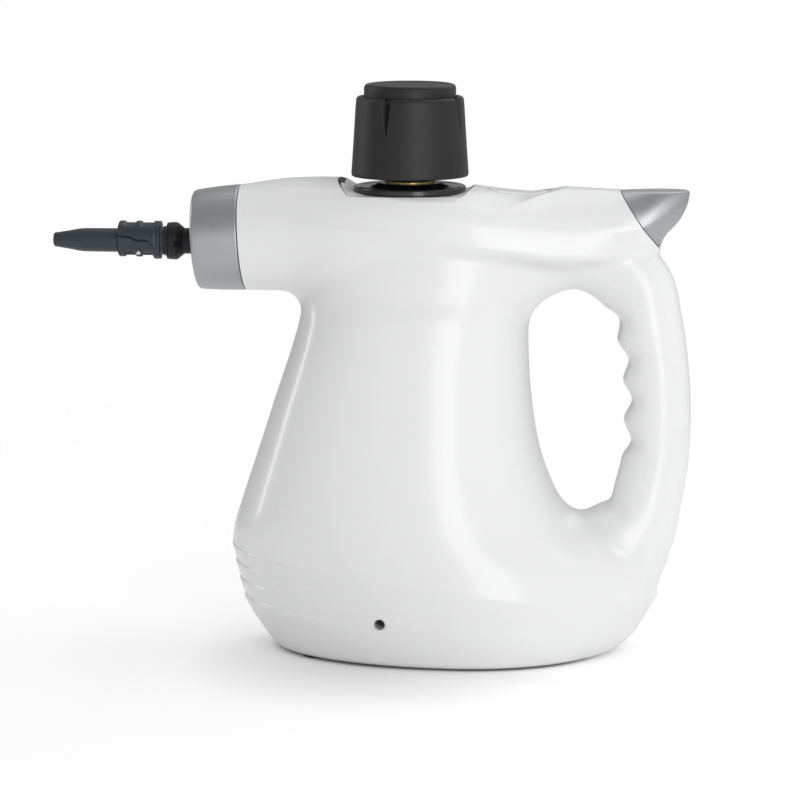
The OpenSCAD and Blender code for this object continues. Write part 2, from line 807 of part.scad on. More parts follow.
// Glossy black dish in the recess, sloping up to its hub
module filler_dish() {
    color([0.05, 0.05, 0.055]) at_tank() translate([0, 0, dish_z]) rotate_extrude()
        polygon([
            [neck_r + play, 0], [dish_r - 0.4, 0], [dish_r, 0.6], [dish_r, dish_t - 0.6],
            [dish_r - 0.7, dish_t], [neck_r + 1.6, dish_h], [neck_bore, dish_h],
            [neck_bore, neck_top - dish_z + 0.3], [neck_r + play, neck_top - dish_z + 0.3]
        ]);
}

// Brass neck from the boiler up to the dish, with the seat for the plug's gasket
module filler_neck() {
    color([0.72, 0.56, 0.26]) at_tank() rotate_extrude()
        polygon([
            [water_r, top_z - 4], [neck_r - 0.6, top_z - 4], [neck_r - 0.6, neck_seat],
            [neck_r + 2.5, neck_seat], [neck_r + 2.5, neck_seat + 3], [neck_r, neck_seat + 3],
            [neck_r, neck_top], [neck_bore, neck_top], [neck_bore, seat_z], [water_r, seat_z]
        ]);
}

// Grip of the safety cap with its notches, retaining lip and ratchet ring
module cap_shell() {
    color([0.16, 0.17, 0.18]) at_tank() {
        difference() {
            rotate_extrude()
                polygon([
                    [lip_r, cap_z], [cap_r - 0.3, cap_z], [cap_r, cap_z + 0.6],
                    [cap_shoulder_r + 0.2, shoulder_z - 1.4], [cap_shoulder_r - 0.9, shoulder_z],
                    [disc_r + 0.3, shoulder_z], [disc_r + 0.3, plate_z + plate_t],
                    [0, plate_z + plate_t], [0, plate_z], [cavity_r, plate_z], [cavity_r, ratchet_z + 2],
                    [core_r - 6, ratchet_z + 2], [core_r - 6, ratchet_z], [cavity_r, ratchet_z],
                    [cavity_r, core_z - play], [lip_r, core_z - play]
                ]);
            for (i = [0:3])
                rotate([0, 0, 90 * i + 250.5]) translate([cap_shoulder_r + 0.2, 0, shoulder_z])
                    rotate([0, 180 - atan((notch_d + 0.9) / notch_l), 0]) rotate([0, 0, 45])
                        translate([-notch_d, -notch_d, -6]) cube([2 * notch_d, 2 * notch_d, notch_l + 6]);
        }
        for (i = [0:teeth - 1])
            rotate([0, 0, 360 * (i + 0.5) / teeth]) translate([core_r - 5.6, -1.6, ratchet_z - tooth_h])
                cube([4, 3.2, tooth_h + 0.6]);
    }
}

// Press disc set into the top of the cap
module cap_disc() {
    top = shoulder_z - plate_z - plate_t + disc_h;
    color([0.18, 0.19, 0.2]) at_tank() translate([0, 0, plate_z + plate_t]) rotate_extrude()
        polygon([
            [0, 0], [disc_r, 0], [disc_r, top - 1.6],
            [disc_r - 1.6, top], [0, top]
        ]);
}

// Ratchet core that carries the plug
module cap_core() {
    color([0.3, 0.31, 0.32]) at_tank() {
        difference() {
            union() {
                translate([0, 0, core_z]) cylinder(r = core_r, h = core_t);
                translate([0, 0, core_z - 4]) cylinder(r = relief_bore - 0.1, h = 5);
            }
            translate([0, 0, core_z - 6]) cylinder(r = 1.2, h = 20);
        }
        for (i = [0:teeth - 1])
            rotate([0, 0, 360 * i / teeth]) translate([core_r - 5.6, -1.6, core_z + core_t - 0.4])
                cube([4, 3.2, tooth_h + 0.4]);
    }
}

// Brass plug with ring threads and the bore of the relief valve
module cap_plug() {
    low = seat_z + gasket_t + play;
    count = floor((core_z - low - 8) / thread_pitch);
    color([0.72, 0.56, 0.26]) at_tank() difference() {
        union() {
            translate([0, 0, low]) cylinder(r = plug_r - thread_d, h = core_z - low);
            for (i = [0:count - 1])
                translate([0, 0, low + 1 + i * thread_pitch]) {
                    cylinder(r1 = plug_r - thread_d, r2 = plug_r, h = thread_pitch * 0.35);
                    translate([0, 0, thread_pitch * 0.35])
                        cylinder(r1 = plug_r, r2 = plug_r - thread_d, h = thread_pitch * 0.35);
                }
            translate([0, 0, core_z - 6]) cylinder(r = plug_r, h = 6);
        }
        translate([0, 0, relief_z]) cylinder(r = relief_bore, h = 60);
        translate([0, 0, low - 1]) cylinder(r = 1.6, h = 20);
    }
}

// Spring between the core and the cap's inner plate
module cap_spring() {
    color([0.62, 0.63, 0.65]) at_tank() translate([0, 0, core_z + core_t])
        coil(plug_r + 0.3, plate_z - core_z - core_t, 6);
}

// Gasket under the plug
module cap_gasket() {
    color([0.1, 0.1, 0.11]) at_tank() translate([0, 0, seat_z + play]) difference() {
        cylinder(r = plug_r - 0.2, h = gasket_t - play);
        translate([0, 0, -1]) cylinder(r = 3, h = 6);
    }
}

// Poppet of the relief valve
module relief_poppet() {
    color([0.72, 0.56, 0.26]) at_tank() translate([0, 0, relief_z + play]) {
        cylinder(r = relief_r, h = 3);
        translate([0, 0, 3]) cylinder(r = 1.2, h = 3);
    }
}

// Spring of the relief valve
module relief_spring() {
    color([0.62, 0.63, 0.65]) at_tank() translate([0, 0, relief_z + play + 3])
        coil(2.3, core_z - 4 - relief_z - play - 3, 7);
}

// Lower boiler half with its flange
module boiler_base() {
    color([0.74, 0.75, 0.76]) at_tank() difference() {
        union() {
            translate([0, 0, boiler_z]) cylinder(r = boiler_out, h = joint_z - boiler_z);
            translate([0, 0, joint_z - flange_h]) cylinder(r = flange_r, h = flange_h);
        }
        translate([0, 0, boiler_z + floor_t]) cylinder(r = boiler_r, h = 100);
        bolt_ways();
    }
}

// Upper boiler half with the boss for the neck and the way to the valve
module boiler_top() {
    low = joint_z + joint_gasket;
    color([0.74, 0.75, 0.76]) at_tank() difference() {
        union() {
            translate([0, 0, low]) cylinder(r = boiler_out, h = top_z - low);
            translate([0, 0, low]) cylinder(r = flange_r, h = flange_h);
            translate([0, 0, top_z - 1]) cylinder(r = neck_r + 2.5, h = neck_seat - top_z + 1);
        }
        translate([0, 0, low - 1]) cylinder(r = boiler_r, h = top_z - 4 - low + 1);
        translate([0, 0, top_z - 10]) cylinder(r = neck_r - 0.5, h = 30);
        translate([valve_x, 0, top_z - 10]) cylinder(r = steam_r, h = 30);
        bolt_ways();
    }
}

// Holes for the flange bolts
module bolt_ways() {
    for (i = [0:bolts - 1])
        rotate([0, 0, 360 * (i + 0.5) / bolts]) translate([bolt_ring, 0, joint_z - 20])
            cylinder(r = bolt_r + play, h = 40, $fn = 24);
}

// Gasket between the boiler halves
module boiler_gasket() {
    color([0.55, 0.14, 0.1]) at_tank() difference() {
        translate([0, 0, joint_z]) cylinder(r = flange_r - 0.5, h = joint_gasket);
        translate([0, 0, joint_z - 1]) cylinder(r = boiler_r + 0.5, h = 5);
        bolt_ways();
    }
}

// Eight bolts with heads and nuts
module boiler_bolts() {
    top = joint_z + joint_gasket + flange_h;
    low = joint_z - flange_h;
    color([0.6, 0.61, 0.62]) at_tank()
        for (i = [0:bolts - 1])
            rotate([0, 0, 360 * (i + 0.5) / bolts]) translate([bolt_ring, 0, 0]) {
                translate([0, 0, low - 4]) cylinder(r = bolt_r, h = top - low + 5, $fn = 24);
                translate([0, 0, top]) cylinder(r = 3.2, h = 2.6, $fn = 6);
                translate([0, 0, low - 2.6]) cylinder(r = 3.2, h = 2.6, $fn = 6);
            }
}

// Heater tube around the boiler base with its two terminals
module heating_element() {
    color([0.45, 0.43, 0.42]) at_tank() translate([0, 0, heater_z]) {
        rotate([0, 0, heater_open]) rotate_extrude(angle = 360 - 2 * heater_open)
            translate([heater_ring, 0]) circle(r = heater_r, $fn = 24);
        for (s = [-1, 1])
            rotate([0, 0, s * heater_open]) translate([heater_ring, 0, 0]) rotate([0, 90, 0]) {
                translate([0, 0, -heater_r]) cylinder(r = heater_r, h = 2 * heater_r, $fn = 24);
                cylinder(r = 1.8, h = heater_r + 6, $fn = 24);
            }
    }
}

// Ring with four legs that carries the boiler above the floor
module boiler_stand() {
    color([0.22, 0.2, 0.18]) at_tank() {
        difference() {
            translate([0, 0, boiler_z - stand_h]) cylinder(r = boiler_out - 1, h = stand_h);
            translate([0, 0, boiler_z - stand_h - 1]) cylinder(r = boiler_out - 9, h = stand_h + 2);
        }
        for (i = [0:3])
            rotate([0, 0, 45 + 90 * i]) translate([boiler_out - 5, 0, inner_floor])
                cylinder(r = 4, h = boiler_z - stand_h - inner_floor + 1, $fn = 32);
    }
}

// Thermostat with its two tabs
module thermostat() {
    color([0.3, 0.26, 0.22]) at_tank() translate([-24, 0, top_z]) {
        cylinder(r = 8, h = 2, $fn = 32);
        cylinder(r = 6.5, h = 9, $fn = 32);
        for (s = [-1, 1])
            translate([-3, s * 3.5 - 0.4, 8]) cube([6, 0.8, 8]);
    }
}

// Thermal cut-out in its holder
module thermal_cutout() {
    color([0.8, 0.78, 0.7]) at_tank() translate([0, -26, top_z]) {
        translate([-10, -3, 0]) cube([20, 6, 2]);
        translate([-8, 0, 4]) rotate([0, 90, 0]) cylinder(r = 2.5, h = 16, $fn = 24);
        for (s = [-7, 5])
            translate([s, -3, 0]) cube([2, 6, 4]);
    }
}

// Steam valve: chamber, seat, stem guide and side outlet
module valve_body() {
    color([0.72, 0.56, 0.26]) at_tank() translate([valve_x, 0, 0]) difference() {
        union() {
            translate([0, 0, top_z]) cylinder(r = valve_r, h = valve_z - top_z);
            translate([0, 0, valve_z - 1]) cylinder(r = valve_r - 2, h = 11);
            translate([0, 0, pipe_z]) rotate([-90, 0, 0]) cylinder(r = pipe_r, h = valve_out);
        }
        translate([0, 0, top_z - 1]) cylinder(r = steam_r, h = 6);
        translate([0, 0, top_z + 4]) cylinder(r = valve_r - 1.6, h = pipe_z - top_z - 10);
        translate([0, 0, pipe_z - 7]) cylinder(r = stem_r + 0.8, h = 11);
        translate([0, 0, pipe_z - 7]) cylinder(r = stem_r + play, h = 60);
        translate([0, 0, pipe_z]) rotate([-90, 0, 0]) cylinder(r = steam_r, h = 30);
    }
}

// Valve stem with its poppet below and the spring collar above
module valve_stem() {
    color([0.78, 0.79, 0.8]) at_tank() translate([valve_x, 0, 0]) {
        translate([0, 0, pipe_z - 9]) cylinder(r = stem_r, h = stem_top - pipe_z + 9);
        translate([0, 0, pipe_z - 9]) cylinder(r = valve_r - 2, h = 2.7);
        translate([0, 0, stem_top - 4.6]) cylinder(r = valve_r - 2, h = 1.6);
    }
}

// Spring that lifts the valve stem
module valve_spring() {
    low = valve_z + 10;
    color([0.62, 0.63, 0.65]) at_tank() translate([valve_x, 0, low])
        coil(stem_r + 0.9 + wire_r, stem_top - 4.6 - low, 3);
}

// Steam pipe from the valve around the neck to the outlet
module steam_pipe() {
    side = neck_r + 8;
    rise = nozzle_z - pipe_z;
    back = ring_seam - 9.7;
    points = [
        [valve_x, valve_out, pipe_z], [valve_x - 0.6, valve_out + 3.4, pipe_z + 0.4],
        [valve_x - 8, side - 1.5, pipe_z + 4], [neck_r - 0.5, side, pipe_z + rise * 0.34],
        [0, side, pipe_z + rise * 0.49], [-back * 0.23, side - 2, pipe_z + rise * 0.68],
        [-back * 0.47, side * 0.58, pipe_z + rise * 0.865], [-back * 0.7, side * 0.22, nozzle_z - 0.4],
        [5 - back, 0, nozzle_z], [-back, 0, nozzle_z]
    ];
    color([0.72, 0.44, 0.24]) at_tank() tube_along(path_through(points, 36), pipe_r, steam_r, 10);
}

// Bracket with two ears on the valve's shoulder
module lever_bracket() {
    color([0.7, 0.71, 0.72]) at_tank() {
        difference() {
            union() {
                translate([pivot_x - 3.4, -ear_in - 1.6, valve_z])
                    cube([valve_x - pivot_x + 9, 2 * ear_in + 3.2, 1.6]);
                for (s = [0, 1])
                    mirror([0, s, 0]) translate([pivot_x - 3.4, ear_in, valve_z])
                        cube([6.8, 1.6, lever_z + lever_t + 1.6 - valve_z]);
            }
            translate([valve_x, 0, valve_z - 1]) cylinder(r = valve_r - 2 + play, h = 6);
            translate([pivot_x, 0, lever_z + lever_t / 2]) rotate([90, 0, 0])
                cylinder(r = pin_r, h = 40, center = true, $fn = 32);
        }
    }
}

// Pivot pin of the lever
module lever_pin() {
    color([0.78, 0.79, 0.8]) at_tank() translate([pivot_x, 0, lever_z + lever_t / 2]) rotate([90, 0, 0])
        cylinder(r = pin_r, h = 2 * ear_in + 5, center = true, $fn = 32);
}

// Lever that the button presses onto the valve stem
module valve_lever() {
    color([0.25, 0.27, 0.3]) at_tank() difference() {
        union() {
            translate([pivot_x, -lever_w / 2, lever_z]) cube([2 * lever_arm + 3, lever_w, lever_t]);
            translate([pivot_x, 0, lever_z + lever_t / 2]) rotate([90, 0, 0])
                cylinder(r = pin_r + 1.6, h = lever_w, center = true, $fn = 32);
        }
        translate([pivot_x, 0, lever_z + lever_t / 2]) rotate([90, 0, 0])
            cylinder(r = pin_r + pin_play, h = 40, center = true, $fn = 32);
    }
}

// Thumb button, a hollow cap with a stem
module steam_button() {
    color([0.93, 0.94, 0.95]) at_tank() translate([button_x, 0, 0]) {
        difference() {
            translate([0, 0, button_top - 7]) slot(button_l, button_w, 7);
            translate([0, 0, button_top - 8])
                slot(button_l - 2 * button_wall, button_w - 2 * button_wall, 8 - button_wall);
        }
        translate([0, 0, lever_top + 2]) cylinder(r = 2.4, h = button_top - 1 - lever_top - 2, $fn = 32);
        translate([0, 0, lever_top + 0.3]) cylinder(r1 = 1.1, r2 = 2.4, h = 1.8, $fn = 32);
    }
}

// Well that frames and guides the button
module button_well() {
    color([0.93, 0.94, 0.95]) at_tank() translate([button_x, 0, 0]) difference() {
        union() {
            translate([0, 0, well_floor]) slot(well_l, well_w, well_rim - well_floor);
            translate([0, 0, thumb_z - wall - 3.4]) slot(well_l - 1, well_w + 4, 2);
        }
        translate([0, 0, well_floor + 1.8])
            slot(button_l + 2 * button_play, button_w + 2 * button_play, 40);
        translate([0, 0, well_floor - 1]) cylinder(r = 2.7, h = 6, $fn = 32);
    }
}

// Spring under the button
module button_spring() {
    color([0.62, 0.63, 0.65]) at_tank() translate([button_x, 0, well_floor + 1.8])
        coil(4.2, button_top - button_wall - well_floor - 1.8, 5);
}

// Housing screw deep in its well
module shell_screw() {
    color([0.5, 0.5, 0.52]) at_tank() translate([-screw_x, 0, screw_z]) rotate([90, 0, 0]) {
        translate([0, 0, -10]) cylinder(r = screw_r, h = 22.5, $fn = 32);
        difference() {
            translate([0, 0, 12]) cylinder(r = screw_well_r - 0.15, h = 1.8, $fn = 32);
            for (a = [0, 90])
                rotate([0, 0, a]) translate([-1.3, -0.3, 12.8]) cube([2.6, 0.6, 2]);
        }
    }
}

// Four rubber feet in their pockets
module rubber_feet() {
    color([0.1, 0.1, 0.1]) at_tank()
        for (p = foot_places)
            translate([p[0], p[1], 0]) {
                cylinder(r1 = foot_r - 0.6, r2 = foot_r, h = 0.6);
                translate([0, 0, 0.6]) cylinder(r = foot_r, h = floor_gap + foot_pocket - 0.6);
            }
}

// Bush of the cord inlet, held by its flange inside the wall
module cord_gland() {
    color([0.12, 0.12, 0.13]) at_tank() at_gland() difference() {
        union() {
            translate([0, 0, -gland_in]) cylinder(r = gland_r, h = gland_in - 0.5);
            translate([0, 0, -wall - 5.4]) cylinder(r = gland_r + 1.6, h = 2);
        }
        translate([0, 0, -gland_in - 1]) cylinder(r = cord_r, h = gland_in + 2);
    }
}

// Two leads from the inlet to the heater's terminals
module mains_wires() {
    end_r = heater_ring + heater_r + 6;
    c = cos(heater_open);
    s = sin(heater_open);
    start = [gland_x - (gland_in + 0.3) * cos(gland_tilt), gland_z + (gland_in + 0.3) * sin(gland_tilt)];
    color([0.35, 0.2, 0.12]) at_tank()
        for (side = [0, 1])
            mirror([0, side, 0])
                rod_along(path_through([
                    [start[0], 1.8, start[1]], [start[0] - 7, 2.6, start[1] + 3], [74, 12, 32],
                    [66, 21, 40], [(end_r + 9) * c, (end_r + 9) * s, heater_z - 3],
                    [(end_r + 3) * c, (end_r + 3) * s, heater_z], [end_r * c, end_r * s, heater_z]
                ], 20), 1.2, 8);
}

left_shell();
right_shell();
nose_ring();
rear_trim();
outlet_connector();
nozzle_collar();
jet_nozzle();
jet_seal();
filler_dish();
filler_neck();
cap_shell();
cap_disc();
cap_core();
cap_plug();
cap_spring();
cap_gasket();
relief_poppet();
relief_spring();
boiler_base();
boiler_top();
boiler_gasket();
boiler_bolts();
heating_element();
boiler_stand();
thermostat();
thermal_cutout();
valve_body();
valve_stem();
valve_spring();
steam_pipe();
lever_bracket();
lever_pin();
valve_lever();
steam_button();
button_well();
button_spring();
shell_screw();
rubber_feet();
cord_gland();
mains_wires();
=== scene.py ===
"""Handheld steam cleaner: its surfaces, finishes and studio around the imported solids.

Shapes are worked out in millimetres in the tank frame: X counts from the filler axis, the nose points to -X,
the handle lies towards +X and Z rises from the table. assemble() moves them into the part's frame, in metres.
"""

import json
import logging
import math
from dataclasses import dataclass, field
from enum import Enum
from functools import partialmethod
from typing import Any, Callable, Optional, Sequence

import bpy
import numpy as np
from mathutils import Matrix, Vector


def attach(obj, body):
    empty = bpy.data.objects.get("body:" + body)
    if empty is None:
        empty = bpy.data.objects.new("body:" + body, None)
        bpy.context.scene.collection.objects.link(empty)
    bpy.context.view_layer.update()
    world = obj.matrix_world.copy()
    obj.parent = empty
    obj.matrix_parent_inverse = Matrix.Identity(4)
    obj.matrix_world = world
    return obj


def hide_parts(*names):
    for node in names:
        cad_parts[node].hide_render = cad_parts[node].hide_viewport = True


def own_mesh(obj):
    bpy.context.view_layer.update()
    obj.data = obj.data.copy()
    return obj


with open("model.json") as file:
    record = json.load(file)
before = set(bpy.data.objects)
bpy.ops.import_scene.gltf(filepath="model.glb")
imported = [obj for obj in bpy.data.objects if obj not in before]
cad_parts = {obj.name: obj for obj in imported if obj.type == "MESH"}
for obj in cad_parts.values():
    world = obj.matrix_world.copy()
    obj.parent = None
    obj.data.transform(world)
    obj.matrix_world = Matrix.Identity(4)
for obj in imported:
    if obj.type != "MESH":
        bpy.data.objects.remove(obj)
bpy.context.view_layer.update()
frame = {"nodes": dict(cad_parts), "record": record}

Array = np.ndarray
Field = Callable[[Array], Array]
log = logging.getLogger("steam_cleaner")

MM = 0.001  # metres in a millimetre
TANK_X = 16.8  # where the tank axis lies in the part's frame
FULL_TURN = 2 * math.pi
TINY = 1e-9  # keeps divisions away from zero
CORE = 1e-3  # least share of a section's size, so that its middle line has a distance too
AXES = ((0, 1, 2), (1, 2, 0), (2, 0, 1))  # each axis followed by the other two
FAR_SIDE = np.array([1, -1, 1])  # turns the near side into the far side
COIL_STEPS = 28  # points on one turn of a spring
BATCH = 20000  # points that are measured against a line at once
SNAP = 0.25  # share of a cell within which a point moves onto a cut
BENT = math.cos(math.radians(9))  # a corner that turns more than this from its triangle lies at a crease


class Body(Enum):
    """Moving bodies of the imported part."""

    HOUSING = "housing"
    CAP_CORE = "cap_core"
    CAP_GRIP = "cap_grip"
    JET = "jet"
    BUTTON = "button"


class Grain(Enum):
    """Surface textures that a finish can carry."""

    POLISHED = "polished"
    SPARK = "spark"
    FLAKE = "flake"
    TURNED = "turned"
    CAST = "cast"
    MOULDED = "moulded"


# Curves and grids


@dataclass(frozen=True)
class Rows:
    """Listed rows and the smooth curve through them.

    Attributes:
        table: rows of a key followed by its values
    """

    table: tuple

    def at(self, key: Array, column: int = 1) -> Array:
        """Reads the cubic curve through the rows, whose slope at a row is that between its neighbours.

        Args:
            key: places to read at, held inside the table
            column: which value to read

        Returns:
            the values, shaped like key
        """
        data = np.array(self.table, dtype=float)
        keys, values = data[:, 0], data[:, column]
        slope = np.empty_like(values)
        slope[1:-1] = (values[2:] - values[:-2]) / (keys[2:] - keys[:-2])
        slope[[0, -1]] = (values[[1, -1]] - values[[0, -2]]) / (keys[[1, -1]] - keys[[0, -2]])
        key = np.clip(key, keys[0], keys[-1])
        i = np.clip(np.searchsorted(keys, key, side="right") - 1, 0, len(keys) - 2)
        h = keys[i + 1] - keys[i]
        s = (key - keys[i]) / h
        start = values[i] * (1 + 2 * s) + slope[i] * h * s
        end = values[i + 1] * (3 - 2 * s) + slope[i + 1] * h * (s - 1)
        return start * (1 - s) ** 2 + end * s ** 2


def ease(value: Array, low: float, high: float) -> Array:
    """Rises smoothly from 0 at low to 1 at high."""
    t = np.clip((value - low) / (high - low), 0, 1)
    return t * t * (3 - 2 * t)


def between(value: Array, *ends: float) -> Array:
    """Rises from 0 to 1 between the first two ends and falls back between the last two."""
    return ease(value, *ends[:2]) * (1 - ease(value, *ends[2:]))


def length_of(vectors: Array) -> Array:
    """Length of each vector, as a column that is never zero."""
    return np.maximum(np.linalg.norm(vectors, axis=-1, keepdims=True), TINY)


def unit(vectors: Array) -> Array:
    """Directions of vectors, with length one."""
    return vectors / length_of(vectors)


def join(a: Array, b: Array, blend: Any) -> Array:
    """Smaller of two distances, with a fillet about as wide as blend where they are alike."""
    h = np.clip(0.5 + 0.5 * (b - a) / blend, 0, 1)
    return b + (a - b) * h - blend * h * (1 - h)


def carve(a: Array, b: Array, blend: float) -> Array:
    """Larger of two distances, with its edge rounded over blend."""
    return -join(-a, -b, blend)


def rounded(power: Any, *pairs: tuple) -> Array:
    """Distance to a rounded section, from place and half size in each direction; power 2 makes an ellipse."""
    share = np.maximum(sum((np.abs(place) / half) ** power for place, half in pairs) ** (1 / power), CORE)
    return np.sqrt(sum(place ** 2 for place, _ in pairs)) * (1 - 1 / share)


def soften(profile: Sequence, radius: float, steps: int = 4) -> Array:
    """Rounds each corner of a closed outline with a short curve.

    Args:
        profile: corners in order
        radius: how far the rounding reaches along each side
        steps: points on each curve

    Returns:
        the rounded outline, its first point repeated at the end
    """
    corner = np.array(profile, dtype=float)
    before, after = np.roll(corner, 1, axis=0) - corner, np.roll(corner, -1, axis=0) - corner
    start, end = (corner + side * np.minimum(0.45, radius / length_of(side)) for side in (before, after))
    t = np.linspace(0, 1, steps)[None, :, None]
    curve = (1 - t) ** 2 * start[:, None] + 2 * t * (1 - t) * corner[:, None] + t ** 2 * end[:, None]
    curve = curve.reshape(-1, corner.shape[1])
    return np.vstack([curve, curve[:1]])


def refine(profile: Array, step: float) -> Array:
    """Adds points along an outline so that none lie further apart than step."""
    length = np.concatenate([[0], np.cumsum(np.linalg.norm(np.diff(profile, axis=0), axis=1))])
    keys = np.union1d(length, np.linspace(0, length[-1], int(length[-1] / step) + 2))
    return np.stack([np.interp(keys, length, column) for column in profile.T], axis=1)


@dataclass
class Patch:
    """One closed surface of a piece.

    Attributes:
        points: places in tank millimetres
        faces: groups of corner numbers, triangles or quads
        finish: which of the piece's finishes it wears
        normals: shading directions at the corners of each group, or none
    """

    points: Array
    faces: list
    finish: int = 0
    normals: Optional[list] = None


def weld(points: Array, faces: Array) -> tuple[Array, list]:
    """Joins points that share a place, and drops the sides that this closes.

    Args:
        points: places, some of them repeated along seams and at poles
        faces: corner numbers, three or four to a row

    Returns:
        the single points, and triangle and quad groups
    """
    _, first, number = np.unique(np.round(points, 4), axis=0, return_index=True, return_inverse=True)
    faces = number.reshape(-1)[faces]
    same = faces == np.roll(faces, -1, axis=1)
    groups = [faces[same.sum(1) == 0]]
    if faces.shape[1] == 4:
        once = same.sum(1) == 1
        turn = (same[once].argmax(1)[:, None] + 1 + np.arange(3)) % 4
        groups.append(np.take_along_axis(faces[once], turn, axis=1))
    return points[first], [g for g in groups if len(g)]


def grid(points: Array, finish: int = 0) -> Patch:
    """Closed surface over rows and columns of points whose seams and poles meet."""
    rows, columns = points.shape[:2]
    start = (np.arange(rows - 1)[:, None] * columns + np.arange(columns - 1)).reshape(-1, 1)
    faces = start + np.array([0, 1, columns + 1, columns])
    return Patch(*weld(points.reshape(-1, 3), faces), finish=finish)


@dataclass(frozen=True)
class Axle:
    """A leaning axis: local Z runs along it.

    Attributes:
        origin: where the axis starts, in tank millimetres
        lean: turn about Y from upright, in degrees
    """

    origin: tuple
    lean: float = 0.0

    def place(self, points: Array) -> Array:
        """Turns local points about Y and moves them to the axis."""
        c, s = math.cos(math.radians(self.lean)), math.sin(math.radians(self.lean))
        x, y, z = np.moveaxis(points, -1, 0)
        return np.stack([x * c + z * s, y, z * c - x * s], axis=-1) + np.array(self.origin)

    def local(self, points: Array) -> Array:
        """Reads tank points in the axis' own directions."""
        c, s = math.cos(math.radians(self.lean)), math.sin(math.radians(self.lean))
        x, y, z = np.moveaxis(points - np.array(self.origin), -1, 0)
        return np.stack([x * c - z * s, y, z * c + x * s], axis=-1)


UPRIGHT = Axle((0, 0, 0))


def revolve(profile: Array, axle: Axle = UPRIGHT, finish: int = 0, turns: Any = 96,
            shape: Optional[Callable] = None) -> Patch:
    """Carries a closed outline once around an axis.

    Args:
        profile: outline as radius and height, closed
        axle: the axis
        finish: which of the piece's finishes it wears
        turns: number of steps around, or the angles themselves in radians
        shape: changes radius and height by angle, radius and height

    Returns:
        the closed surface
    """
    angle = np.linspace(0, FULL_TURN, turns + 1) if isinstance(turns, int) else turns
    a, r = np.meshgrid(angle, profile[:, 0], indexing="ij")
    z = np.broadcast_to(profile[:, 1], r.shape)
    if shape:
        r, z = shape(a, r, z)
    return grid(axle.place(np.stack([r * np.cos(a), r * np.sin(a), z], axis=-1)), finish)


def slot_outline(length: float, width: float, inset: Array, steps: int = 24) -> tuple[Array, Array]:
    """Long round-ended outline, drawn in by each inset; past the half width it shrinks along the middle.

    Args:
        length: whole length
        width: whole width
        inset: how far each row is drawn in
        steps: points on each half round

    Returns:
        X and Y, one row per inset
    """
    angle = np.concatenate([np.linspace(-0.5, 0.5, steps), np.linspace(0.5, 1.5, steps), [-0.5]]) * math.pi
    straight = (length - width) / 2
    middle = np.repeat([1.0, -1.0, 1.0], [steps, steps, 1]) * straight
    radius = np.maximum(width / 2 - inset, 0)[:, None]
    squeeze = np.clip((width / 2 + straight - inset) / (straight + TINY), 0, 1)[:, None]
    return middle * squeeze + radius * np.cos(angle), radius * np.sin(angle)


def helix(radius: float, wire: float, low: float, high: float, turns: int, x: float) -> Patch:
    """Round wire wound evenly between two heights, its ends closed to a point.

    Args:
        radius: of the coil
        wire: radius of the wire
        low: height of the lower end
        high: height of the upper end
        turns: number of turns
        x: place of the coil's axis

    Returns:
        the closed surface
    """
    t = np.linspace(0, 1, turns * COIL_STEPS + 1)
    swell = np.sqrt(np.clip(np.minimum(t, 1 - t) * turns * (COIL_STEPS / 2), 0, 1))[:, None] * wire
    a, b = t[:, None] * turns * FULL_TURN, np.linspace(0, FULL_TURN, 11)
    r = radius + swell * np.cos(b)
    z = low + wire + (high - low - 2 * wire) * t[:, None] + swell * np.sin(b)
    return grid(np.stack([x + r * np.cos(a), r * np.sin(a), z], axis=-1))


# Skins of zero distance


def slope_of(shape: Field, points: Array, step: float = 0.05) -> Array:
    """Slope of a distance at each point, from points a step to either side."""
    return np.stack([(shape(points + s) - shape(points - s)) / (2 * step) for s in np.eye(3) * step], axis=1)


def settle(points: Array, *shapes: Field, rounds: int = 4) -> Array:
    """Moves points onto the surfaces where one or more distances are zero, by Newton's steps."""
    for _ in range(rounds):
        for shape in shapes:
            g = slope_of(shape, points)
            step = shape(points)[:, None] * g / np.maximum((g * g).sum(1), 1e-4)[:, None]
            points = points - step * np.minimum(1, 1 / length_of(step))
    return points


@dataclass(frozen=True)
class Cut:
    """An opening in a skin.

    Attributes:
        side: distance that is positive where the skin stays
        sink: gives the inner edge from the outer edge's points, or none for a plain wall edge
    """

    side: Field
    sink: Optional[Callable[[Array], Array]] = None

    def mirrored(self) -> "Cut":
        """The same opening on the far side."""
        sink = self.sink and (lambda p: self.sink(p * FAR_SIDE) * FAR_SIDE)
        return Cut(lambda p: self.side(p * FAR_SIDE), sink)


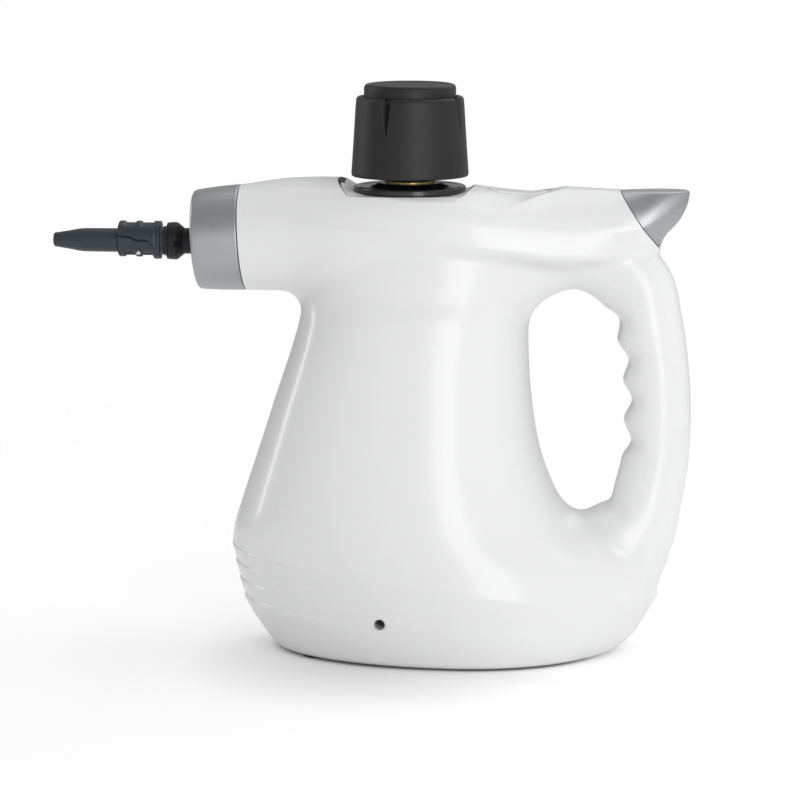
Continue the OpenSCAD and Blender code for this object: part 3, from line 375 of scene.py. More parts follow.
@dataclass
class Skin:
    """Surface where a distance is zero, in triangles that face the larger distance.

    Attributes:
        shape: the distance
        cell: size of the cells that it was found in
        points: places on the surface
        tris: corner numbers of the triangles
    """

    shape: Field
    cell: float
    points: Array
    tris: Array

    @classmethod
    def find(cls, shape: Field, low: Sequence, high: Sequence, cell: float) -> "Skin":
        """Finds the surface: one point in each cell that it crosses, joined across the crossed cell edges.

        Args:
            shape: the distance
            low: lowest corner of the space to search
            high: highest corner
            cell: size of a cell

        Returns:
            the surface
        """
        axes = [np.arange(a, b + cell, cell) for a, b in zip(low, high)]
        nodes = np.stack(np.meshgrid(*axes, indexing="ij"), axis=-1)
        value = shape(nodes.reshape(-1, 3)).reshape(nodes.shape[:3])
        inside = value < 0
        cells = tuple(n - 1 for n in value.shape)
        total, count = np.zeros(cells + (3,)), np.zeros(cells)
        for order in AXES:
            v, sign = value.transpose(order), inside.transpose(order)
            crossed = sign[:-1] != sign[1:]
            along = np.where(crossed, v[:-1] / np.where(crossed, v[:-1] - v[1:], 1), 0)
            sums, counts = total.transpose(order + (3,)), count.transpose(order)
            _, tall, wide = crossed.shape
            for du, dv in ((0, 0), (0, 1), (1, 0), (1, 1)):
                part = np.s_[:, du:tall - 1 + du, dv:wide - 1 + dv]
                for axis, share in zip(order, (along[part], crossed[part] * du, crossed[part] * dv)):
                    sums[..., axis] += share
                counts += crossed[part]
        mixed = count > 0
        number = np.full(cells, -1)
        number[mixed] = np.arange(mixed.sum())
        points = np.array(low) + cell * (np.argwhere(mixed) + total[mixed] / count[mixed][:, None])
        quads = []
        for order in AXES:
            sign, name = inside.transpose(order)[:, 1:-1, 1:-1], number.transpose(order)
            ring = np.stack([name[:, :-1, :-1], name[:, 1:, :-1], name[:, 1:, 1:], name[:, :-1, 1:]], axis=-1)
            quads += [ring[sign[:-1] & ~sign[1:]], ring[~sign[:-1] & sign[1:]][:, ::-1]]
        quads = np.concatenate(quads)
        return cls(shape, cell, points, np.concatenate([quads[:, [0, 1, 2]], quads[:, [0, 2, 3]]]))

    def mirrored(self) -> "Skin":
        """The same surface on the far side."""
        shape = self.shape
        return Skin(lambda p: shape(p * FAR_SIDE), self.cell, self.points * FAR_SIDE, self.tris[:, ::-1])

    def edges(self) -> Array:
        """Directed sides of all triangles, three to each in turn."""
        return self.tris[:, [[0, 1], [1, 2], [2, 0]]].reshape(-1, 2)

    def border(self) -> Array:
        """Directed sides that only one triangle has."""
        side, count = self.edges(), len(self.points)
        key, back = side[:, 0] * count + side[:, 1], side[:, 1] * count + side[:, 0]
        return side[~np.isin(key, back)]

    def relax(self, rounds: int) -> None:
        """Slides points to the middle of their neighbours and settles them again; the border stays."""
        count = len(self.points)
        side = np.unique(np.sort(self.edges(), axis=1), axis=0)
        start, end = np.concatenate([side, side[:, ::-1]]).T
        degree = np.bincount(start, minlength=count)[:, None]
        free = np.ones((count, 1))
        free[self.border().reshape(-1)] = 0
        for _ in range(rounds):
            middle = np.stack([np.bincount(start, column, count) for column in self.points[end].T], axis=1)
            move = (middle / np.maximum(degree, 1) - self.points) * free
            n = unit(slope_of(self.shape, self.points))
            slide = move - n * (n * move).sum(1)[:, None]
            self.points = settle(self.points + 0.5 * slide, self.shape, rounds=1)

    def part(self, side: Field, keep_both: bool = False) -> None:
        """Splits the surface along the line where another distance is zero; nearby points move onto the line.

        Args:
            side: the distance whose positive side stays
            keep_both: keeps the far side too, so that only the line is added
        """
        points, tris, shape = self.points.copy(), self.tris, self.shape
        value = side(points)
        reach = np.linalg.norm(slope_of(side, points), axis=1)
        near = np.abs(value) < SNAP * self.cell * reach
        points[near] = settle(points[near], shape, side)
        value[near] = 0
        keep = value > 0
        sides = np.sort(self.edges(), axis=1)
        crossed = keep[sides[:, 0]] != keep[sides[:, 1]]
        pair, which = np.unique(sides[crossed], axis=0, return_inverse=True)
        a, b = pair.T
        t = (value[a] / (value[a] - value[b]))[:, None]
        line = settle(points[a] + t * (points[b] - points[a]), shape, side)
        zero_a, zero_b = value[a] == 0, value[b] == 0
        line[zero_a], line[zero_b] = points[a[zero_a]], points[b[zero_b]]
        number = np.full(len(sides), -1)
        number[crossed] = len(points) + which.reshape(-1)
        number = number.reshape(-1, 3)
        held = keep[tris]
        count = held.sum(1)
        mixed = (count == 1) | (count == 2)
        lone = (held[mixed] == (count[mixed] == 1)[:, None]).argmax(1)[:, None]
        turn = (lone + np.arange(3)) % 3
        corner = np.hstack([np.take_along_axis(table[mixed], turn, axis=1) for table in (tris, number)])
        tip = corner[:, [0, 3, 5]]
        rest = np.concatenate([corner[:, [3, 1, 2]], corner[:, [3, 2, 5]]])
        tip_held = count[mixed] == 1
        kept = [tris[count == 3], tip[tip_held], rest[np.tile(~tip_held, 2)]]
        if keep_both:
            kept += [tris[count == 0], tip[~tip_held], rest[np.tile(tip_held, 2)]]
        points, groups = weld(np.concatenate([points, line]), np.concatenate(kept))
        used, tris = np.unique(groups[0], return_inverse=True)
        self.points, self.tris = points[used], tris.reshape(-1, 3)

    def shading(self, normal: Array) -> Array:
        """Directions at the triangles' corners, read a little inside the triangle beside a crease."""
        corner = normal[self.tris]
        place = self.points[self.tris]
        face = unit(np.cross(place[:, 1] - place[:, 0], place[:, 2] - place[:, 0]))
        bent = (corner * face[:, None]).sum(-1).min(1) < BENT
        inside = 0.55 * place[bent] + 0.45 * place[bent].mean(1, keepdims=True)
        corner[bent] = unit(slope_of(self.shape, inside.reshape(-1, 3), 0.06)).reshape(-1, 3, 3)
        return corner

    def shell(self, cuts: Sequence[Cut], wall: float) -> Patch:
        """Gives the surface its wall and closes its edges.

        Args:
            cuts: openings whose edges lie on the border
            wall: thickness

        Returns:
            the closed surface, shaded by the slope of the distance
        """
        points, n = self.points, len(self.points)
        normal = unit(slope_of(self.shape, points, 0.25))
        inner = points - wall * normal
        border = self.border()
        rim = np.unique(border)
        for cut in cuts:
            if cut.sink is not None:
                on = rim[np.abs(cut.side(points[rim])) < 0.05]
                inner[on] = cut.sink(points[on])
        both = np.concatenate([points, inner])
        a, b = border.T
        edge = np.stack([b, a, a + n, b + n], axis=1)
        across = unit(np.cross(both[edge[:, 1]] - both[edge[:, 0]], both[edge[:, 3]] - both[edge[:, 0]]))
        back = self.tris[:, ::-1]
        normals = [self.shading(normal), -normal[back], np.repeat(across[:, None], 4, axis=1)]
        return Patch(both, [self.tris, back + n, edge], normals=normals)


# Pieces


def outward(patch: Patch) -> bool:
    """Tells whether a closed surface faces outwards, from the volume it bounds."""
    volume = 0.0
    for group in patch.faces:
        for k in range(1, group.shape[1] - 1):
            a, b, c = (patch.points[group[:, i]] for i in (0, k, k + 1))
            volume += float((a * np.cross(b, c)).sum())
    return volume > 0


def assemble(name: str, patches: Sequence[Patch], finishes: Sequence[bpy.types.Material],
             crease: float) -> bpy.types.Object:
    """Makes one object of closed surfaces, in the part's frame.

    Args:
        name: the piece's name
        patches: its surfaces
        finishes: its materials, by the number that the surfaces name
        crease: angle in degrees above which an edge stays sharp

    Returns:
        the object, at the origin
    """
    mesh = bpy.data.meshes.new(name)
    corners, sizes, slots, shading, offset = [], [], [], [], 0
    for patch in patches:
        flip = patch.normals is None and not outward(patch)
        for i, group in enumerate(patch.faces):
            corners.append((group[:, ::-1] if flip else group).reshape(-1) + offset)
            sizes.append(np.full(len(group), group.shape[1]))
            slots.append(np.full(len(group), patch.finish))
            empty = np.zeros((group.size, 3))
            shading.append(empty if patch.normals is None else patch.normals[i].reshape(-1, 3))
        offset += len(patch.points)
    places = (np.concatenate([p.points for p in patches]) + [TANK_X, 0, 0]) * MM
    corners, sizes = np.concatenate(corners), np.concatenate(sizes)
    mesh.vertices.add(len(places))
    mesh.vertices.foreach_set("co", places.astype(np.float32).reshape(-1))
    mesh.loops.add(len(corners))
    mesh.loops.foreach_set("vertex_index", corners.astype(np.int32))
    mesh.polygons.add(len(sizes))
    mesh.polygons.foreach_set("loop_start", (np.cumsum(sizes) - sizes).astype(np.int32))
    mesh.polygons.foreach_set("material_index", np.concatenate(slots).astype(np.int32))
    mesh.update(calc_edges=True)
    mesh.shade_smooth()
    mesh.set_sharp_from_angle(angle=math.radians(crease))
    if any(p.normals is not None for p in patches):
        mesh.normals_split_custom_set(np.concatenate(shading).tolist())
    for finish in finishes:
        mesh.materials.append(finish)
    piece = bpy.data.objects.new(name, mesh)
    bpy.context.scene.collection.objects.link(piece)
    return piece


# Finishes


class Shade:
    """A shader socket that takes part in sums and products."""

    def __init__(self, bench: "Bench", socket: bpy.types.NodeSocket) -> None:
        """Keeps the socket and the bench that made it."""
        self.bench = bench
        self.socket = socket

    def combine(self, operation: str, other: Any) -> "Shade":
        """Result of a sum, product or power with another value."""
        return self.bench.sum(operation, self, other)

    __add__ = partialmethod(combine, "ADD")
    __sub__ = partialmethod(combine, "SUBTRACT")
    __mul__ = partialmethod(combine, "MULTIPLY")
    __pow__ = partialmethod(combine, "POWER")

    def __rsub__(self, other: Any) -> "Shade":
        """Difference from a number."""
        return self.bench.sum("SUBTRACT", other, self)


class Bench:
    """One material's node tree."""

    def __init__(self, name: str, tree: Optional[bpy.types.NodeTree] = None) -> None:
        """Starts a material with its shader and its place on the piece, or takes the surroundings' tree."""
        if tree is None:
            self.material = bpy.data.materials.new(name)
            self.material.use_nodes = True
        self.tree = tree or self.material.node_tree
        self.shader = next(n for n in self.tree.nodes if n.type in ("BSDF_PRINCIPLED", "BACKGROUND"))
        self.place = self.node("ShaderNodeTexCoord", output="Object")

    def node(self, kind: str, settings: Optional[dict] = None, inputs: Optional[dict] = None,
             output: Any = 0) -> Shade:
        """Adds one node.

        Args:
            kind: the node's type
            settings: properties to set first; "stops" fills a ramp with places and tones
            inputs: values or links by socket name or number
            output: socket to hand on

        Returns:
            the chosen output
        """
        made = self.tree.nodes.new(kind)
        for key, value in (settings or {}).items():
            if key == "stops":
                for i, (place, tone) in enumerate(value):
                    stop = made.color_ramp.elements[i] if i < 2 else made.color_ramp.elements.new(place)
                    stop.position, stop.color = place, (tone, tone, tone, 1)
            else:
                setattr(made, key, value)
        for key, value in (inputs or {}).items():
            self.feed(made.inputs[key], value)
        return Shade(self, made.outputs[output])

    def feed(self, socket: bpy.types.NodeSocket, value: Any) -> None:
        """Links or sets one socket."""
        if isinstance(value, Shade):
            self.tree.links.new(value.socket, socket)
        else:
            socket.default_value = value

    def sum(self, operation: str, a: Any, b: Any) -> Shade:
        """Math of two values."""
        return self.node("ShaderNodeMath", {"operation": operation}, {0: a, 1: b})

    def noise(self, size: float, detail: float = 2.0, place: Optional[Shade] = None) -> Shade:
        """Soft noise whose patches are about size millimetres wide."""
        inputs = {"Vector": place or self.place, "Scale": 1 / (size * MM), "Detail": detail}
        return self.node("ShaderNodeTexNoise", None, inputs, "Fac")

    def cells(self, size: float, output: str) -> Shade:
        """Cells that are about size millimetres wide."""
        inputs = {"Vector": self.place, "Scale": 1 / (size * MM)}
        return self.node("ShaderNodeTexVoronoi", None, inputs, output)

    def remap(self, value: Shade, span: tuple, result: tuple, smooth: bool = False) -> Shade:
        """Carries a value from one span to another and holds it at the ends."""
        inputs = dict(zip(("Value", "From Min", "From Max", "To Min", "To Max"), (value, *span, *result)))
        kind = {"interpolation_type": "SMOOTHSTEP"} if smooth else None
        return self.node("ShaderNodeMapRange", kind, inputs)

    def spread(self, value: Shade, low: float, high: float) -> Shade:
        """Stretches the middle of a noise to run from low to high."""
        return self.remap(value, (0.15, 0.85), (low, high))

    def along(self, place: Shade, axis: str) -> Shade:
        """One of a place's three numbers."""
        return self.node("ShaderNodeSeparateXYZ", None, {0: place}, axis)

    def ray(self, kind: str) -> Shade:
        """Tells whether the ray that arrives is of a kind."""
        return self.node("ShaderNodeLightPath", output=kind)

    def ramp(self, value: Shade, stops: tuple) -> Shade:
        """Reads a grey off a ramp of places and tones."""
        color = self.node("ShaderNodeValToRGB", {"stops": stops}, {0: value})
        return self.node("ShaderNodeRGBToBW", None, {0: color})

    def tint(self, mask: Shade, a: Sequence[float], b: Sequence[float]) -> Shade:
        """Colour between two, by a mask."""
        return self.node("ShaderNodeMix", {"data_type": "RGBA"}, {0: mask, 6: (*a, 1), 7: (*b, 1)}, 2)


@dataclass(frozen=True)
class Finish:
    """How one material looks.

    Attributes:
        color: main colour
        shift: colour that drifts into it
        rough: least and greatest roughness
        grain: texture of the surface
        size: width of the texture's grains in millimetres
        depth: strength of the texture's relief
        metal: share of metal
        coat: weight of a clear gloss layer
        specular: level of the plain reflection
    """

    color: tuple
    shift: tuple
    rough: tuple
    grain: Grain
    size: float
    depth: float
    metal: float = 0.0
    coat: float = 0.0
    specular: float = 0.5

    def relief(self, bench: Bench) -> tuple[Shade, Shade]:
        """Builds the texture.

        Args:
            bench: the material's nodes

        Returns:
            a tone from 0 to 1 that drifts over the surface, and the relief's height
        """
        drift = bench.noise(self.size * 40, 3.0)
        fine = bench.noise(self.size, 2.0)
        if self.grain is Grain.SPARK:
            return drift * 0.6 + fine * 0.4, bench.cells(self.size, "Distance") * 0.6 + fine * 0.8
        if self.grain is Grain.FLAKE:
            glint = bench.node("ShaderNodeSeparateColor", None, {0: bench.cells(self.size, "Color")})
            return drift * 0.35 + glint * 0.3 + 0.17, fine + glint * 0.3
        if self.grain is Grain.TURNED:
            place = bench.node("ShaderNodeMapping", None, {"Vector": bench.place, "Scale": (0.12, 0.12, 1.0)})
            lines = bench.noise(self.size * 0.3, 3.0, place)
            return drift * 0.5 + lines * 0.5, lines + fine * 0.3
        if self.grain is Grain.CAST:
            coarse = bench.noise(self.size * 4, 4.0)
            return drift * 0.5 + coarse * 0.5, coarse + fine * 0.6
        if self.grain is Grain.POLISHED:
            return drift, bench.noise(self.size * 6, 1.0)
        return drift * 0.7 + fine * 0.3, fine

    def make(self, name: str) -> bpy.types.Material:
        """Builds the material.

        Args:
            name: the material's name

        Returns:
            the material
        """
        bench = Bench(name)
        tone, height = self.relief(bench)
        mask = bench.spread(tone, 0.0, 1.0)
        shader = bench.shader.inputs
        bench.feed(shader["Base Color"], bench.tint(mask, self.color, self.shift))
        bench.feed(shader["Roughness"], bench.spread(tone, *self.rough))
        bump = {"Strength": self.depth, "Distance": self.size * 0.2 * MM, "Height": height}
        bench.feed(shader["Normal"], bench.node("ShaderNodeBump", None, bump))
        shader["Metallic"].default_value = self.metal
        shader["Coat Weight"].default_value = self.coat
        shader["Coat Roughness"].default_value = 0.04
        shader["Specular IOR Level"].default_value = self.specular
        return bench.material


FINISHES = {
    "white_gloss": Finish((0.835, 0.837, 0.842), (0.855, 0.857, 0.862), (0.22, 0.28), Grain.POLISHED,
                          0.7, 0.02, coat=0.15),
    "silver_trim": Finish((0.43, 0.44, 0.455), (0.49, 0.50, 0.515), (0.36, 0.44), Grain.FLAKE,
                          0.35, 0.05, 0.92),
    "black_gloss": Finish((0.006, 0.006, 0.007), (0.012, 0.012, 0.013), (0.18, 0.28), Grain.POLISHED,
                          0.7, 0.03, coat=0.15),
    "black_matt": Finish((0.008, 0.008, 0.0095), (0.013, 0.013, 0.015), (0.40, 0.52), Grain.MOULDED,
                         0.4, 0.15, specular=0.3),
    "slate_plastic": Finish((0.019, 0.028, 0.036), (0.030, 0.039, 0.048), (0.36, 0.48), Grain.MOULDED,
                            0.5, 0.12),
    "charcoal_grain": Finish((0.0085, 0.0084, 0.0092), (0.017, 0.0166, 0.018), (0.40, 0.52), Grain.SPARK,
                             0.55, 0.7, specular=0.4),
    "grey_plastic": Finish((0.05, 0.053, 0.06), (0.08, 0.083, 0.09), (0.4, 0.55), Grain.MOULDED, 0.5, 0.15),
    "brass": Finish((0.62, 0.42, 0.15), (0.74, 0.55, 0.25), (0.22, 0.36), Grain.TURNED, 0.5, 0.15, 1),
    "cast_aluminium": Finish((0.55, 0.56, 0.57), (0.68, 0.69, 0.70), (0.38, 0.58), Grain.CAST, 0.6, 0.4, 1),
    "bright_steel": Finish((0.52, 0.53, 0.54), (0.64, 0.65, 0.66), (0.2, 0.34), Grain.TURNED, 0.4, 0.12, 1),
    "spring_steel": Finish((0.42, 0.43, 0.45), (0.56, 0.57, 0.59), (0.24, 0.4), Grain.TURNED, 0.3, 0.15, 1),
    "heater_steel": Finish((0.22, 0.19, 0.17), (0.34, 0.27, 0.22), (0.35, 0.55), Grain.CAST, 0.5, 0.3, 1),
    "red_silicone": Finish((0.36, 0.035, 0.02), (0.46, 0.06, 0.035), (0.45, 0.6), Grain.MOULDED, 0.5, 0.15),
    "black_rubber": Finish((0.012, 0.012, 0.012), (0.025, 0.025, 0.025), (0.6, 0.8), Grain.SPARK, 0.5, 0.3),
    "brown_phenolic": Finish((0.06, 0.035, 0.02), (0.1, 0.06, 0.035), (0.35, 0.5), Grain.CAST, 0.5, 0.2),
    "cream_ceramic": Finish((0.6, 0.53, 0.4), (0.7, 0.64, 0.52), (0.5, 0.7), Grain.CAST, 0.5, 0.25),
    "clear_hose": Finish((0.5, 0.48, 0.42), (0.62, 0.6, 0.54), (0.3, 0.45), Grain.MOULDED, 0.6, 0.1),
    "brown_wire": Finish((0.1, 0.035, 0.015), (0.15, 0.06, 0.03), (0.4, 0.55), Grain.MOULDED, 0.4, 0.12),
    "recess_grey": Finish((0.04, 0.04, 0.042), (0.055, 0.055, 0.058), (0.5, 0.6), Grain.MOULDED,
                          0.5, 0.08, specular=0.15),
}


@dataclass
class Palette:
    """The finished materials, made once each."""

    made: dict = field(default_factory=dict)

    def __getitem__(self, name: str) -> bpy.types.Material:
        """Gives a finish, making it at first use."""
        if name not in self.made:
            self.made[name] = FINISHES[name].make(name)
        return self.made[name]


@dataclass
class Unit:
    """A group of pieces.

    Attributes:
        palette: the finishes
    """

    palette: Palette

    def fit(self, name: str, node: str, patches: Sequence[Patch], looks: Sequence[str],
            body: Body = Body.HOUSING, crease: float = 35.0) -> bpy.types.Object:
        """Makes a piece that rides on a body and stands for a solid.

        Args:
            name: the piece's name
            node: the solid that it stands for
            patches: its closed surfaces
            looks: names of its finishes, by the number that the surfaces name
            body: what it moves with
            crease: angle in degrees above which an edge stays sharp

        Returns:
            the finished piece
        """
        piece = assemble(name, patches, [self.palette[look] for look in looks], crease)
        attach(piece, body.value)
        looks[0]
        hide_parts(node)
        log.info("%s rides on %s, %d faces", piece.name, body.value, len(piece.data.polygons))
        return piece


# Housing


@dataclass
class Housing(Unit):
    """Two moulded halves: a pot, a barrel across its top and a loop handle, blended into one skin.

    Rows start with a height or a place along X and give the values there; the handle's count along its line.

    Attributes:
        cell: spacing of the skin's points; quick_cell, meant for a quick build, is not used
        space: corners of the space that holds the near half
        wall: thickness of the moulding
        skirt: height of the skirt line at the tank axis
        step_pitch: height of a moulded step under the skirt's front
        step_lip: share of a step that faces down
        step_fade: where around the front the steps end, and over how far
        floor: height of the underside, with the rounding of its edge
        pot_top: height where the pot ends inside the barrel
        pot_blend: fillet between pot and handle
        fillet: least fillet at the barrel; along fillet_span it narrows from twice that
        pot_power: squareness of the pot's sections
        shift_rows: widest place of the pot
        low_rows: front, back and half width of the pot below the skirt line, with high_rows above it
        fall_rows: how much the sections lean
        barrel_rows: top, widest line, underside and half width of the barrel
        barrel_power: squareness of its upper half
        deck_rows: height of the deck behind the cap, with deck_fall to the sides
        prow_rows: end of the tail by height, with prow_fall to the sides
        handle_rows: X, Z, depth and half width of the handle
        loop_rows: depth that the finger loop's bottom takes off it
        handle_start: X where the handle can begin, with its reach from the middle plane
        far: distance given outside of that
        line_steps: places on the handle's line that a search starts from
        finger_first: height of the lowest of the finger hollows
        ring: axis of the nose ring's joint, which cuts above ring_low
        tail: axis of the tail's joint, which cuts above tail_low
        gland: axis of the cord inlet
        screw: X and Z of the screw well
        dish_radius: half length of the recess at its floor
        recess: lean of its end walls, as length over height
        button_x: place of the button's slot
        slot_drop: depth of the slot's inner edge
    """

    cell: float = 1.35
    quick_cell: float = 2.6
    space: tuple = ((-76, -62, -1.5), (121, 3.5, 200))
    wall: float = 1.8
    skirt: float = 35.5
    step_pitch: float = 6.0
    step_depth: float = 0.75
    step_count: int = 4
    step_lip: float = 0.14
    step_fade: tuple = (0.42, 0.32)
    floor: float = 0.8
    floor_round: float = 2.0
    pot_top: float = 176.0
    pot_blend: float = 16.0
    fillet: float = 4.5
    fillet_span: tuple = (-38, 4)
    pot_power: Rows = Rows(((0.8, 1.98), (35.5, 2.02), (58, 2.14), (80, 2.27), (103, 2.35), (176, 2.35)))
    shift_rows: Rows = Rows(((0.8, 25), (35.5, 20), (46, 13), (58, 6.5), (103, 0), (176, 0)))
    low_rows: Rows = Rows((
        (0.8, 56.5, 84.5, 55), (13, 68, 92.4, 57.5), (24, 72.2, 96.6, 58.2), (35.5, 75, 100.4, 58.5)))
    high_rows: Rows = Rows((
        (35.5, 75, 100.4, 58.5), (46, 73.7, 92, 57.3), (58, 70.8, 70.4, 55.5), (77, 65.2, 57.5, 52),
        (103, 57.3, 51.3, 46.5), (141, 45.6, 49.5, 38), (151, 46.8, 51.5, 34.5), (176, 51, 54, 29)))
    fall_rows: Rows = Rows((
        (0.8, 0), (13, 0.0575), (35.5, 0.115), (46, 0.092), (58, 0.0575), (103, 0), (176, 0)))
    barrel_rows: Rows = Rows((
        (-92, 191.6, 170.9, 150.2, 20.5), (-69.7, 194.8, 172.6, 150.4, 22.2),
        (-50, 197.6, 173.8, 150.6, 24.7), (-27, 198, 175.3, 154, 28.7),
        (0, 197.7, 175.8, 163, 31.6), (28, 196.8, 173.2, 162.5, 30.3),
        (50, 195.8, 170.3, 161.5, 25.8), (64, 195.2, 168.6, 161.2, 22.7), (80, 194.5, 169, 162.6, 19.6),
        (88, 194.3, 171.2, 164.2, 18), (96, 195.6, 175.6, 166.6, 15.3), (104.6, 197.6, 182.6, 169.4, 11.9),
        (112, 199, 187.6, 173.6, 7.6), (119, 200, 190, 178, 1.2)))
    barrel_power: Rows = Rows((
        (-92, 2.05), (-50, 2.15), (-30, 2.4), (-15, 2.75), (0, 2.9), (13, 2.8), (26, 2.55), (43, 2.3),
        (60, 2.1), (88, 2.05), (119, 2.1)))
    deck_rows: Rows = Rows((
        (-26, 200.5), (-13, 197.6), (0, 196.4), (14, 195.9), (28, 195.3), (39, 194.1), (50, 193.1),
        (57, 193.5), (63, 194.7), (66, 196.6), (72, 203)))
    deck_fall: Rows = Rows((
        (-26, 0.0062), (-10, 0.007), (8, 0.0072), (20, 0.0082), (32, 0.0112), (40, 0.0122), (45, 0.0112),
        (50, 0.0085), (55, 0.004), (64, 0.001), (72, 0.001)))
    prow_rows: Rows = Rows((
        (150, 103.5), (166, 103.9), (169, 104.3), (172.7, 105.3), (176, 107.4), (178.3, 109.6), (181, 112),
        (184.6, 114.2), (188.2, 115.7), (191.5, 116.4), (196, 116.7)))
    prow_fall: float = 0.0587
    handle_rows: Rows = Rows((
        (0, 47, 163, 14.5, 12), (1, 73, 167, 15, 12.6), (2, 93, 156, 15.5, 14), (3, 99.9, 138, 14.2, 15.5),
        (4, 103.1, 118, 13.8, 15), (5, 103.9, 100, 13.9, 15), (6, 102.9, 80, 14.0, 15.5),
        (7, 99.1, 63, 15.2, 17.5), (7.5, 96.1, 55.4, 17.3, 19.5), (8, 90.3, 47.3, 21, 22),
        (9, 73.5, 24.6, 21.5, 24)))
    loop_rows: Rows = Rows((
        (6.0, 0), (6.6, 0.1), (7, 0.9), (7.4, 2), (7.8, 2.4), (8.2, 1.9), (8.6, 0.8), (9, 0)))
    handle_power: float = 2.22
    handle_start: float = 32.0
    handle_reach: float = 42.0
    far: float = 60.0
    line_steps: int = 181
    finger_first: float = 89.0
    finger_pitch: float = 18.0
    finger_depth: float = 3.2
    fingers: int = 4
    ring: Axle = Axle((-69.7, 0, 172.6), -93.6)
    ring_low: float = 135.0
    tail: Axle = Axle((88, 0, 194), 90 - 34.2)
    tail_low: float = 155.0
    gland: Axle = Axle((100, 0, 19), 116)
    gland_radius: float = 5.45
    screw: tuple = (-7.0, 18.8)
    screw_radius: float = 3.0
    dish_radius: float = 23.7
    dish_height: float = 192.7
    recess_low: float = 192.2
    recess: float = 1.1
    button_x: float = 45.0
    slot_size: tuple = (29.5, 19.5)
    slot_drop: float = 2.6

    def level(self, p: Array) -> Array:
        """Height of the leaning pot section through each point: its own height plus the fall times X."""
        z = p[:, 2]
        level = z
        for _ in range(3):
            level = z + self.fall_rows.at(level) * p[:, 0]
        return level

    def steps(self, level: Array, c: Array) -> Array:
        """Moulded steps: a saw of height step_pitch that only the front of the skirt wears."""
        u = (self.skirt - level) / self.step_pitch
        s = u - np.floor(u)
        saw = np.where(s < self.step_lip, s / self.step_lip, (1 - s) / (1 - self.step_lip)) - 0.5
        ends = np.where((u > 0) & (u < self.step_count), 1.0, 0.0)
        start, span = self.step_fade
        fade = np.sin(0.5 * math.pi * np.clip((-c - start) / span, 0, 1)) ** 2
        return self.step_depth * saw * ends * fade

    def pot(self, p: Array) -> Array:
        """Distance to the pot, whose sections' front, back, half width and widest place follow the level."""
        level = self.level(p)
        low, tables = level < self.skirt, (self.low_rows, self.high_rows)
        front, back, half = (np.where(low, *(rows.at(level, k) for rows in tables)) for k in (1, 2, 3))
        widest, power = self.shift_rows.at(level), self.pot_power.at(level)
        x = p[:, 0] - widest
        length = np.where(x < 0, front + widest, back - widest)
        ratio = np.clip(np.abs(x) / length, 0, 1)
        grow = self.steps(level, np.sign(x) * ratio ** (power / 2))
        wall = rounded(power, (x, length + grow), (p[:, 1], half + grow))
        return np.maximum(wall, p[:, 2] - self.pot_top)

    def tube(self, p: Array) -> Array:
        """Distance to the barrel's side: upper and lower half ellipses that meet at its widest line."""
        x, y, z = p.T
        top, mid, low, half = (self.barrel_rows.at(x, k) for k in (1, 2, 3, 4))
        rise = np.where(z > mid, top - mid, mid - low)
        return rounded(np.where(z > mid, self.barrel_power.at(x), 2.0), (y, half), (z - mid, rise))

    def deck(self, p: Array) -> Array:
        """Height above the flatter deck behind the cap, which falls away to both sides."""
        return p[:, 2] - self.deck_rows.at(p[:, 0]) + self.deck_fall.at(p[:, 0]) * p[:, 1] ** 2

    def prow(self, p: Array) -> Array:
        """Distance behind the tail's hollow underside, which draws in to both sides like a bow."""
        return 0.75 * (p[:, 0] - self.prow_rows.at(p[:, 2]) + self.prow_fall * p[:, 1] ** 2)

    def barrel(self, p: Array) -> Array:
        """Distance to the whole barrel with its deck and its prow."""
        ahead = np.clip(-self.tail.local(p)[:, 2], 0, 12)
        return carve(carve(self.tube(p), self.deck(p), 0.4), self.prow(p), 0.35 + 0.6 * ahead)

    def line(self, t: Array) -> Array:
        """X and Z of the handle's middle line."""
        return np.stack([self.handle_rows.at(t, k) for k in (1, 2)], axis=1)

    def nearest(self, flat: Array) -> tuple[Array, Array]:
        """Finds the place on the handle's middle line that is nearest to each point.

        Args:
            flat: X and Z of the points

        Returns:
            the places, counted along the line, and its direction there
        """
        end, step = self.handle_rows.table[-1][0], 0.05
        keys = np.linspace(0, end, self.line_steps)
        line = self.line(keys)
        batches = np.array_split(flat, len(flat) // BATCH + 1)
        t = np.concatenate([keys[((batch[:, None] - line) ** 2).sum(-1).argmin(1)] for batch in batches])
        for _ in range(4):
            ahead, here, behind = (self.line(t + s) for s in (step, 0, -step))
            way, bend = (ahead - behind) / (2 * step), (ahead - 2 * here + behind) / step ** 2
            gap, pace = flat - here, np.maximum((way * way).sum(1), 1e-3)
            t = np.clip(t + (gap * way).sum(1) / np.maximum(pace - (gap * bend).sum(1), 0.4 * pace), 0, end)
        return t, unit(way)

    def handle(self, p: Array) -> Array:
        """Distance to the handle: a rounded section around the nearest place on a curved middle line."""
        out = np.full(len(p), self.far)
        near = (p[:, 0] > self.handle_start) & (np.abs(p[:, 1]) < self.handle_reach)
        q = p[near]
        if not len(q):
            return out
        t, way = self.nearest(q[:, [0, 2]])
        here = self.line(t)
        gap = q[:, [0, 2]] - here
        along, r = (gap * way).sum(1), gap[:, 1] * way[:, 0] - gap[:, 0] * way[:, 1]
        deep, half = self.handle_rows.at(t, 3), self.handle_rows.at(t, 4)
        u = (here[:, 1] - self.finger_first) / self.finger_pitch
        hollow = np.where((u > -0.5) & (u < self.fingers - 0.5), np.cos(math.pi * u) ** 2, 0)
        deep = deep - (hollow * self.finger_depth + self.loop_rows.at(t)) * ease(-r / deep, 0.05, 0.5)
        out[near] = rounded(self.handle_power, (r, deep), (q[:, 1], half), (along, deep))
        return out

